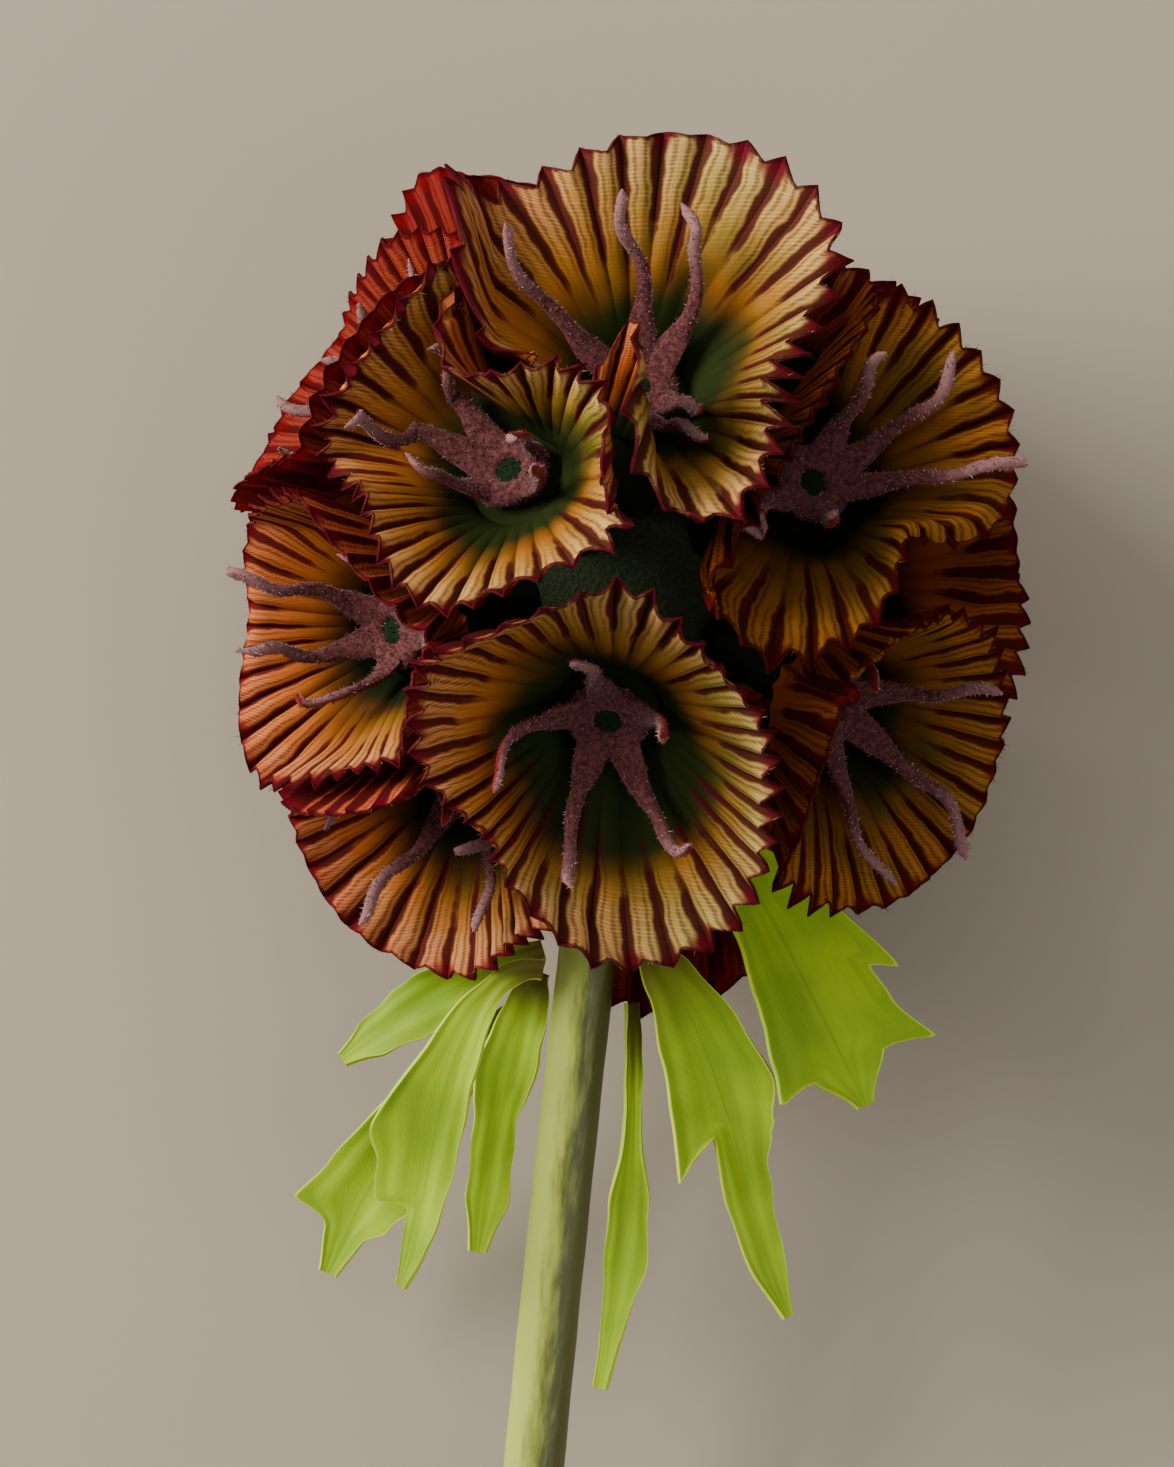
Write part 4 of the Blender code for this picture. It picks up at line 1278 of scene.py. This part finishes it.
@dataclass
class StarMaker:
    """Makes every star from one straight arm and one hub.

    An arm starts at its foot, inside the hub's ring, where a web widens it. It rises over the wall and may
    end in a hook. The names with share or from are shares of its length; the rest is in millimetres.
    """

    bristles: Bristles
    finish: Material
    sides: int = 10
    stations: int = 20
    hub_radius: float = 1.75
    hub_ring: float = 0.9
    green_radius: float = 1.15
    web_width: float = 3.0
    arm_width: float = 1.0
    arm_depth: float = 0.7
    arm_from: float = 0.02
    clearance: float = 1.5
    margin: float = 0.5
    wander: float = 5.0
    foot_height: float = 1.1
    foot_in: float = 0.6
    foot_share: float = 0.16
    web_share: float = 0.17
    hook_from: float = 0.82
    hook_turn: float = 9.0
    hook_drop: float = 1.2
    crease: float = 60.0
    fibres: int = 4200
    fibre_radius: float = 0.042
    fibre_sunk: float = 0.04
    fibre_lean: float = 0.4
    fibre_lengths: tuple[float, float] = (0.12, 0.36)

    def __post_init__(self) -> None:
        """Models the arm and the hub once."""
        self.arm = self.straight_arm()
        self.hub = self.plain_hub()

    def straight_arm(self) -> Object:
        """A round rod along Z, drawn up station by station and closed at both ends."""
        circle = bpy.ops.mesh.primitive_circle_add
        arm = Shop.primitive("straight_arm", circle, vertices=self.sides, radius=1.0, fill_type="NGON")
        with Shop.editing():
            Shop.draw_up(self.stations)
            Shop.face_out()
        return arm

    def plain_hub(self) -> Object:
        """A padded ring round a low green dome, lying in the XY plane."""
        ring = Shop.primitive(
            "plain_hub", bpy.ops.mesh.primitive_torus_add,
            major_radius=self.hub_radius, minor_radius=self.hub_ring, major_segments=36, minor_segments=12,
        )
        sphere = bpy.ops.mesh.primitive_uv_sphere_add
        dome = Shop.primitive("dome", sphere, segments=20, ring_count=10, radius=self.green_radius)
        with Shop.editing():
            bpy.ops.transform.resize(value=(1.0, 1.0, 0.3), center_override=(0.0, 0.0, 0.0))
        Shop.note(dome, "green", np.ones(len(dome.data.vertices)))
        return Shop.join([ring, dome])

    def line(self, form: CupForm, arm: Arm, shares: Array) -> Array:
        """Points down the middle of an arm.

        Args:
            form: The cup's surface.
            arm: Which arm.
            shares: Shares of the way from the hub's ring to the tip.

        Returns:
            One point for each share.
        """
        wall = self.arm_from + (arm.reach - self.arm_from) * shares
        wander = self.wander * np.sin(3.0 * shares * math.pi + arm.at) * shares
        theta = arm.at + arm.bend * shares**2 + wander
        hook = arm.hook * smooth((shares - self.hook_from) / (1 - self.hook_from))
        theta = theta + self.hook_turn * hook
        lift = self.clearance + arm.lift * shares**2 - self.hook_drop * np.abs(hook)
        points = form.wall(theta, wall) + form.inward(theta, wall) * lift[:, None]
        foot_out = self.hub_radius - self.foot_in
        start = form.throat + form.face * self.foot_height + form.spoke(theta) * foot_out
        ease = smooth(shares / self.foot_share)[:, None]
        return form.kept_in(start * (1 - ease) + points * ease, self.margin)

    def bent_arm(self, form: CupForm, arm: Arm, name: str) -> Object:
        """One arm over the cup's wall, webbed at the hub and round at the tip.

        Args:
            form: The cup's surface.
            arm: Which arm.
            name: The new object's name.

        Returns:
            The arm.
        """
        rod = Shop.copy(self.arm, name)
        straight = Shop.points(rod)
        shares = np.linspace(0, 1, self.stations + 1)
        middles = self.line(form, arm, shares)
        along = unit(np.gradient(middles, axis=0))
        aside = unit(np.cross(form.face, form.spoke(np.array([arm.at]))[0]))
        thick = unit(np.cross(along, aside[None, :]))
        across = np.cross(thick, along)
        web = np.exp(-((shares / self.web_share) ** 1.5))
        end = np.sqrt(np.clip(1 - ((shares - 0.9) / 0.102).clip(0, 1) ** 2, 0.0, 1.0))
        lumps = 1 + 0.08 * np.sin(shares * 23 + arm.at)
        plain = self.arm_width * (1 - 0.22 * shares) * lumps
        width = (plain + (self.web_width - self.arm_width) * web) * end
        depth = self.arm_depth * (1 - 0.2 * shares) * end
        station = np.rint(straight[:, 2]).astype(int)
        angle = np.arctan2(straight[:, 1], straight[:, 0])
        offset = across[station] * (np.cos(angle) * width[station] / 2)[:, None]
        rise = thick[station] * (np.sin(angle) * depth[station] / 2)[:, None]
        Shop.place(rod, middles[station] + offset + rise)
        inside = form.face @ thick[len(thick) // 3]
        Shop.note(rod, "under", smooth(-np.sign(inside) * np.sin(angle) * 2.0 - 0.2))
        # Painted highlight: the arms grow paler towards their tips.
        Shop.note(rod, "pale_fibre_and_highlight", 0.34 * smooth((shares[station] - 0.45) / 0.5))
        return rod

    def make(self, cup: Cup) -> Object:
        """Builds one star in its cup's throat.

        Args:
            cup: Which cup.

        Returns:
            The finished piece.
        """
        form = CupForm(cup)
        arms = [self.bent_arm(form, arm, f"{cup.name}_arm") for arm in cup.arms]
        hub = Shop.copy(self.hub, f"{cup.name}_hub")
        flat = Shop.points(hub)
        theta = np.degrees(np.arctan2(flat[:, 0], flat[:, 1]))
        across = np.hypot(flat[:, 0], flat[:, 1])
        lumps = 1 + 0.12 * ripple(theta, form.seed + 5)
        height = 1.15 + 0.62 * flat[:, 2] * lumps
        across = across * (1 + 0.08 * ripple(theta, form.seed + 7))
        Shop.place(hub, form.throat + form.face * height[:, None] + form.spoke(theta) * across[:, None])
        body = Shop.join([hub, *arms])
        body.name = f"{cup.name}_flock"
        Shop.alone(body)
        with Shop.editing():
            Shop.face_out()
        Shop.soften(body, self.crease)
        whole = Shop.join([body, self.nap(body, form)])
        whole.data.materials.clear()
        whole.data.materials.append(self.finish)
        Shop.fit(whole, "flock_mauve", f"{cup.name}_star")
        return whole

    def nap(self, body: Object, form: CupForm) -> Object:
        """The flock: short fibres that stand all over a star.

        Args:
            body: The bare star.
            form: The cup's surface.

        Returns:
            The fibres.
        """
        mesh = body.data
        mesh.calc_loop_triangles()
        corners = np.empty(len(mesh.loop_triangles) * 3, int)
        mesh.loop_triangles.foreach_get("vertices", corners)
        points = Shop.points(body)[corners.reshape(-1, 3)] / MM - Shop.centre
        normals = np.cross(points[:, 1] - points[:, 0], points[:, 2] - points[:, 0])
        areas = np.linalg.norm(normals, axis=1)
        chance = np.random.default_rng(form.seed + 500)
        count = self.fibres
        picked = chance.choice(len(areas), count, p=areas / areas.sum())
        shares = chance.dirichlet((1.0, 1.0, 1.0), count)
        roots = (points[picked] * shares[:, :, None]).sum(axis=1)
        ways = unit(unit(normals[picked]) + chance.normal(0, self.fibre_lean, (count, 3)))
        lengths = chance.uniform(*self.fibre_lengths, count)
        sunk = roots - self.fibre_sunk * ways
        fibres = self.bristles.grow(f"{body.name}_nap", sunk, ways, lengths, self.fibre_radius)
        size = len(self.bristles.corners)
        for name in ("under", "green"):
            held = np.empty(len(mesh.vertices), np.float32)
            mesh.attributes[name].data.foreach_get("value", held)
            Shop.note(fibres, name, np.repeat(held[corners.reshape(-1, 3)[picked, 0]], size))
        out = np.linalg.norm(roots - form.throat, axis=1)
        # Pale fibres at random, with more away from the throat as a painted highlight on the outer arms.
        light = chance.random(count) ** 2 * (0.45 + 0.75 * smooth((out - 4.0) / 7.0))
        Shop.note(fibres, "pale_fibre_and_highlight", np.repeat(light, size))
        return fibres

    def tidy(self) -> None:
        """Takes the patterns away."""
        bpy.data.objects.remove(self.arm)
        bpy.data.objects.remove(self.hub)


@dataclass(frozen=True)
class Leaf:
    """A lobed blade along a path, in millimetres from the head's centre.

    Each station is a share of the way, then the blade's half width on its left and on its right.
    """

    name: str
    path: tuple[tuple[float, float, float], ...]
    stations: tuple[tuple[float, float, float], ...]
    faces: tuple[tuple[float, float, float], tuple[float, float, float]]
    sweep: float = 0.05
    fold: float = 0.15


LEAVES = (
    Leaf(
        "broad_right_leaf",
        ((3.4, -11.5, -1.5), (9.0, -17.5, -1.6), (14.0, -25.0, -3.0), (19.6, -34.5, -4.5)),
        ((0.0, 0.7, 0.7), (0.3, 1.6, 1.6), (0.45, 4.4, 3.0), (0.58, 6.4, 3.9), (0.63, 4.6, 4.2),
         (0.73, 4.9, 4.8), (0.84, 6.4, 5.4), (0.89, 2.8, 2.6), (1.0, 0.7, 0.5)),
        ((0.43, 0.19, 0.88), (0.3, -0.1, 0.95)),
    ),
    Leaf(
        "long_right_leaf",
        ((3.0, -24.5, -2.8), (7.0, -28.0, -1.8), (11.5, -36.0, -3.0), (11.5, -42.0, -4.5),
         (15.8, -49.5, -5.5)),
        ((0.0, 0.7, 0.7), (0.14, 1.9, 1.8), (0.27, 2.9, 3.0), (0.38, 3.7, 3.9), (0.5, 3.0, 4.8),
         (0.53, 2.6, 1.4), (0.64, 1.8, 1.8), (0.76, 1.4, 1.6), (0.88, 1.2, 1.3), (1.0, 0.4, 0.4)),
        ((0.1, 0.2, 0.97), (0.3, 0.0, 0.95)),
    ),
    Leaf(
        "narrow_right_leaf",
        ((3.0, -29.0, -5.6), (3.9, -35.0, -5.8), (4.6, -44.0, -6.5), (3.4, -56.0, -9.0)),
        ((0.0, 0.6, 0.6), (0.4, 0.6, 0.6), (0.58, 1.5, 1.3), (0.72, 1.8, 1.2), (0.85, 1.0, 0.8),
         (1.0, 0.5, 0.5)),
        ((0.6, 0.0, 0.8), (-0.3, 0.0, 0.95)),
    ),
    Leaf(
        "twisted_left_leaf",
        ((-3.3, -27.2, -2.6), (-8.0, -26.5, -0.6), (-10.5, -36.0, -3.0), (-9.0, -43.0, -4.5),
         (-11.0, -50.0, -6.0)),
        ((0.0, 0.7, 0.7), (0.2, 0.9, 0.9), (0.38, 1.6, 2.0), (0.52, 1.8, 4.4), (0.64, 1.8, 3.6),
         (0.76, 1.6, 3.4), (0.8, 1.5, 1.0), (0.9, 1.1, 0.9), (1.0, 0.4, 0.4)),
        ((0.3, 0.2, 0.93), (-0.4, 0.0, 0.9)),
    ),
    Leaf(
        "pale_left_leaf",
        ((-3.5, -27.5, -6.4), (-4.6, -31.0, -7.4), (-5.5, -38.0, -8.6), (-6.0, -47.5, -10.5)),
        ((0.0, 0.7, 0.7), (0.2, 1.6, 1.6), (0.45, 1.8, 2.4), (0.6, 1.2, 1.8), (0.85, 1.6, 1.4),
         (1.0, 0.6, 0.6)),
        ((0.0, 0.2, 0.97), (0.0, 0.1, 0.99)),
    ),
    Leaf(
        "far_left_leaf",
        ((-3.4, -29.6, -9.0), (-7.5, -32.0, -11.5), (-13.0, -40.0, -14.0), (-16.5, -50.5, -16.5)),
        ((0.0, 0.7, 0.7), (0.2, 1.0, 1.0), (0.5, 2.6, 2.2), (0.72, 3.4, 3.4), (0.82, 2.6, 4.4),
         (0.9, 1.4, 1.6), (1.0, 0.7, 0.6)),
        ((0.0, 0.2, 0.97), (0.0, 0.1, 0.99)),
    ),
    Leaf(
        "olive_left_leaf",
        ((-3.4, -26.0, -8.5), (-7.0, -27.5, -8.8), (-11.5, -30.5, -9.2), (-16.6, -35.0, -9.6)),
        ((0.0, 0.7, 0.7), (0.3, 1.5, 1.5), (0.6, 2.1, 2.1), (0.85, 1.5, 1.5), (1.0, 0.5, 0.5)),
        ((0.0, 0.3, 0.95), (0.0, 0.3, 0.95)),
    ),
)


@dataclass
class LeafMaker:
    """Makes every leaf from one flat grid.

    The blade is its thickness, the vein and the wave are how far the surface rises, the nick is how ragged
    the edge is, and the height is the least above the floor.
    """

    finish: Material
    columns: int = 18
    rows: int = 72
    blade: float = 0.32
    vein: float = 0.05
    broad: float = 2.6
    height: float = 0.4
    nick: float = 0.05
    wave: float = 0.3
    crease: float = 40.0

    def __post_init__(self) -> None:
        """Models the grid once, with its own place kept as a UV map."""
        grid = bpy.ops.mesh.primitive_grid_add
        self.grid = Shop.primitive(
            "flat_blade", grid, x_subdivisions=self.columns, y_subdivisions=self.rows, size=2.0
        )
        Shop.lay_flat(self.grid, Shop.points(self.grid)[:, :2] / 2 + 0.5)

    def bend(self, leaf: Leaf, across: Array, share: Array) -> Array:
        """Points of a leaf's middle surface.

        Args:
            leaf: Which leaf.
            across: From -1 at the left edge to 1 at the right.
            share: Shares of the way from the leaf's foot to its tip.

        Returns:
            One point for each pair.
        """
        places = np.array([station[0] for station in leaf.stations])
        number = np.clip(np.searchsorted(places, share, side="right") - 1, 0, len(places) - 2)
        step = (share - places[number]) / (places[number + 1] - places[number])
        eased = 0.4 * step + 0.6 * smooth(step)
        widths = np.array([station[1:] for station in leaf.stations])
        both = widths[number] * (1 - eased)[:, None] + widths[number + 1] * eased[:, None]
        half = np.where(across > 0, both[:, 1], both[:, 0])
        half = half + self.nick * np.sin(share * 43 + 3 * across) * np.minimum(half, 1.0)
        droop = (half * np.abs(across) / self.broad) ** 1.5
        moved = share + leaf.sweep * droop * np.sin(np.pi * share)
        centre = bezier(leaf.path, moved)
        tangent = unit(bezier(leaf.path, moved + 0.02) - bezier(leaf.path, moved - 0.02))
        first, second = np.array(leaf.faces[0]), np.array(leaf.faces[1])
        faces = unit(first * (1 - moved)[:, None] + second * moved[:, None])
        aside = unit(np.cross(tangent, faces))
        faces = np.cross(aside, tangent)
        veins = self.vein * np.cos(across * 4 * math.pi) * np.minimum(half / 3, 1)
        ripples = self.wave * np.sin(share * 11 + 2.0 * across) * np.abs(across) * np.minimum(half / 2, 1)
        rise = leaf.fold * half * np.abs(across) + veins + ripples
        points = centre + aside * (half * across)[:, None] + faces * rise[:, None]
        points[:, 2] = np.maximum(points[:, 2], self.height - HEAD_HEIGHT)
        return points

    def make(self, leaf: Leaf) -> Object:
        """Builds one leaf: the grid bent along its path, with its thickness."""
        blade = Shop.copy(self.grid, leaf.name.replace("_leaf", "_blade"))
        flat = Shop.points(blade)
        Shop.place(blade, self.bend(leaf, flat[:, 0], (flat[:, 1] + 1) / 2))
        Shop.thicken(blade, self.blade)
        Shop.dress(blade, self.finish, self.crease)
        Shop.fit(blade, "leaf_green", leaf.name)
        return blade

    def tidy(self) -> None:
        """Takes the pattern away."""
        bpy.data.objects.remove(self.grid)


@dataclass
class Stem:
    """The cut stem, drawn out ring by ring down its middle line."""

    finish: Material
    sides: int = 32
    steps: int = 60
    buried: float = 1.2
    bevel: float = 0.12
    crease: float = 40.0

    def make(self) -> Object:
        """Builds the stem."""
        circle = bpy.ops.mesh.primitive_circle_add
        stem = Shop.primitive("green_stem", circle, vertices=self.sides, radius=1.0, fill_type="NGON")
        with Shop.editing():
            Shop.draw_up(self.steps)
            bpy.ops.mesh.inset(thickness=self.bevel)
            Shop.face_out()
        straight = Shop.points(stem)
        share = straight[:, 2] / self.steps
        along = direction(STEM_BEARING, STEM_FALL)
        start = STEM_START - self.buried
        middle = along * (start + (STEM_LENGTH - start) * share)[:, None]
        middle += np.array((STEM_BOW, 0, STEM_SAG)) * np.sin(np.pi * share)[:, None]
        radius = STEM_TOP_RADIUS + (STEM_END_RADIUS - STEM_TOP_RADIUS) * share
        angle = np.arctan2(straight[:, 1], straight[:, 0])
        ridges = 1 + 0.012 * np.sin(7 * angle + 3 * share) + 0.01 * np.sin(31 * share * math.pi)
        across = np.array((1.0, 0.0, 0.0))
        upward = np.cross(across, along)
        out = np.hypot(straight[:, 0], straight[:, 1]) * radius * ridges
        points = middle + across * (np.cos(angle) * out)[:, None] + upward * (np.sin(angle) * out)[:, None]
        Shop.place(stem, points)
        Shop.note(stem, "along", share)
        # Painted shade: 1 on the stem's +X side, away from the key light, 0 on its -X side.
        Shop.note(stem, "shade", 0.5 + 0.5 * np.cos(angle))
        Shop.alone(stem)
        with Shop.editing():
            Shop.face_out()
        Shop.dress(stem, self.finish, self.crease)
        Shop.fit(stem, "stem_green", "stem")
        return stem


@dataclass
class Ball:
    """The receptacle that the cups stand on."""

    finish: Material
    lump: float = 0.12
    crease: float = 60.0

    def make(self) -> Object:
        """Builds the ball, a little lumpy."""
        sphere = bpy.ops.mesh.primitive_uv_sphere_add
        ball = Shop.primitive("receptacle", sphere, segments=48, ring_count=24, radius=1.0)
        round_points = Shop.points(ball)
        lumps = np.prod(np.sin(round_points * (9, 8, 10)), axis=1)
        Shop.place(ball, round_points * (BALL_RADIUS - self.lump + self.lump * lumps)[:, None])
        Shop.dress(ball, self.finish, self.crease)
        Shop.fit(ball, "ball_green", "ball")
        return ball


@dataclass
class Studio:
    """The pale floor, the soft lights and the camera."""

    floor_colour: Colour = (0.355, 0.300, 0.228)
    world_colour: Colour = (0.92, 0.94, 1.0)
    world_strength: float = 0.25
    camera_height: float = 400.0
    picture: tuple[float, float] = (1174.0, 1467.0)
    head_pixel: tuple[float, float] = (628.0, 578.0)
    pixel: float = 0.068
    turn: float = 5.38

    def floor(self) -> None:
        """Lays the floor."""
        floor = Shop.primitive("floor", bpy.ops.mesh.primitive_plane_add, size=6.0)
        _, shader, made = new_material("floor", 0.9)
        shader.inputs["Base Color"].default_value = (*self.floor_colour, 1.0)
        floor.data.materials.append(made)

    @staticmethod
    def light(
        name: str, place: tuple[float, float, float], size: float, power: float, colour: Colour
    ) -> None:
        """Hangs one soft square light that faces the head.

        Args:
            name: The light's name.
            place: Where it hangs, in metres from the head.
            size: Its side, in metres.
            power: Its power, in watts.
            colour: Its colour.
        """
        target = Vector(Shop.centre * MM)
        bpy.ops.object.light_add(type="AREA", location=target + Vector(place))
        lamp = bpy.context.object
        lamp.name = name
        lamp.rotation_euler = (-Vector(place)).to_track_quat("-Z", "Y").to_euler()
        lamp.data.size = size
        lamp.data.energy = power
        lamp.data.color = colour

    def world(self) -> None:
        """Sets the even light of the room."""
        world = bpy.data.worlds.new("room")
        world.use_nodes = True
        world.node_tree.nodes["Background"].inputs["Color"].default_value = (*self.world_colour, 1.0)
        world.node_tree.nodes["Background"].inputs["Strength"].default_value = self.world_strength
        bpy.context.scene.world = world

    def camera(self) -> None:
        """Hangs the camera straight over the head, turned as the photograph is."""
        data = bpy.data.cameras.new("camera")
        camera = bpy.data.objects.new("camera", data)
        bpy.context.scene.collection.objects.link(camera)
        across = (self.picture[0] / 2 - self.head_pixel[0]) * self.pixel
        down = (self.picture[1] / 2 - self.head_pixel[1]) * self.pixel
        turned = Matrix.Rotation(math.radians(self.turn), 3, "Z") @ Vector((across, -down, 0.0))
        camera.location = (Vector(Shop.centre) + turned + Vector((0, 0, self.camera_height))) * MM
        camera.rotation_euler = (0.0, 0.0, math.radians(self.turn))
        data.sensor_fit = "VERTICAL"
        data.angle = 2 * math.atan(self.picture[1] * self.pixel / 2 / self.camera_height)
        data.clip_start = 0.01
        bpy.context.scene.camera = camera

    def make(self) -> None:
        """Sets the whole stage up."""
        self.floor()
        self.world()
        self.light("key", (-0.50, 0.17, 0.24), 0.34, 8.2, (1.0, 0.96, 0.90))
        self.light("fill", (0.45, -0.25, 0.40), 0.6, 1.5, (1.0, 0.96, 0.92))
        self.light("above", (0.0, 0.2, 0.5), 0.5, 0.9, (1.0, 0.98, 0.95))
        self.camera()


def main() -> None:
    """Builds every piece in order."""
    logging.basicConfig(level=logging.INFO, format="%(name)s: %(message)s")
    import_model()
    low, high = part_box("ball")
    Shop.centre = np.array((low + high) / 2) / MM
    effects = Effects()
    cloths = {finish.dye: finish.make(effects) for finish in CLOTH_FINISHES}
    bristles = Bristles()
    cups = CupMaker(bristles, cloths)
    stars = StarMaker(bristles, FlockFinish().make(effects))
    for cup in CUPS:
        cups.make(cup)
        stars.make(cup)
    leaves = LeafMaker(LeafFinish().make(effects))
    for leaf in LEAVES:
        leaves.make(leaf)
    for maker in (cups, stars, leaves, bristles):
        maker.tidy()
    Ball(BallFinish().make(effects)).make()
    Stem(StemFinish().make(effects)).make()
    Studio().make()


if __name__ == "__main__":
    main()
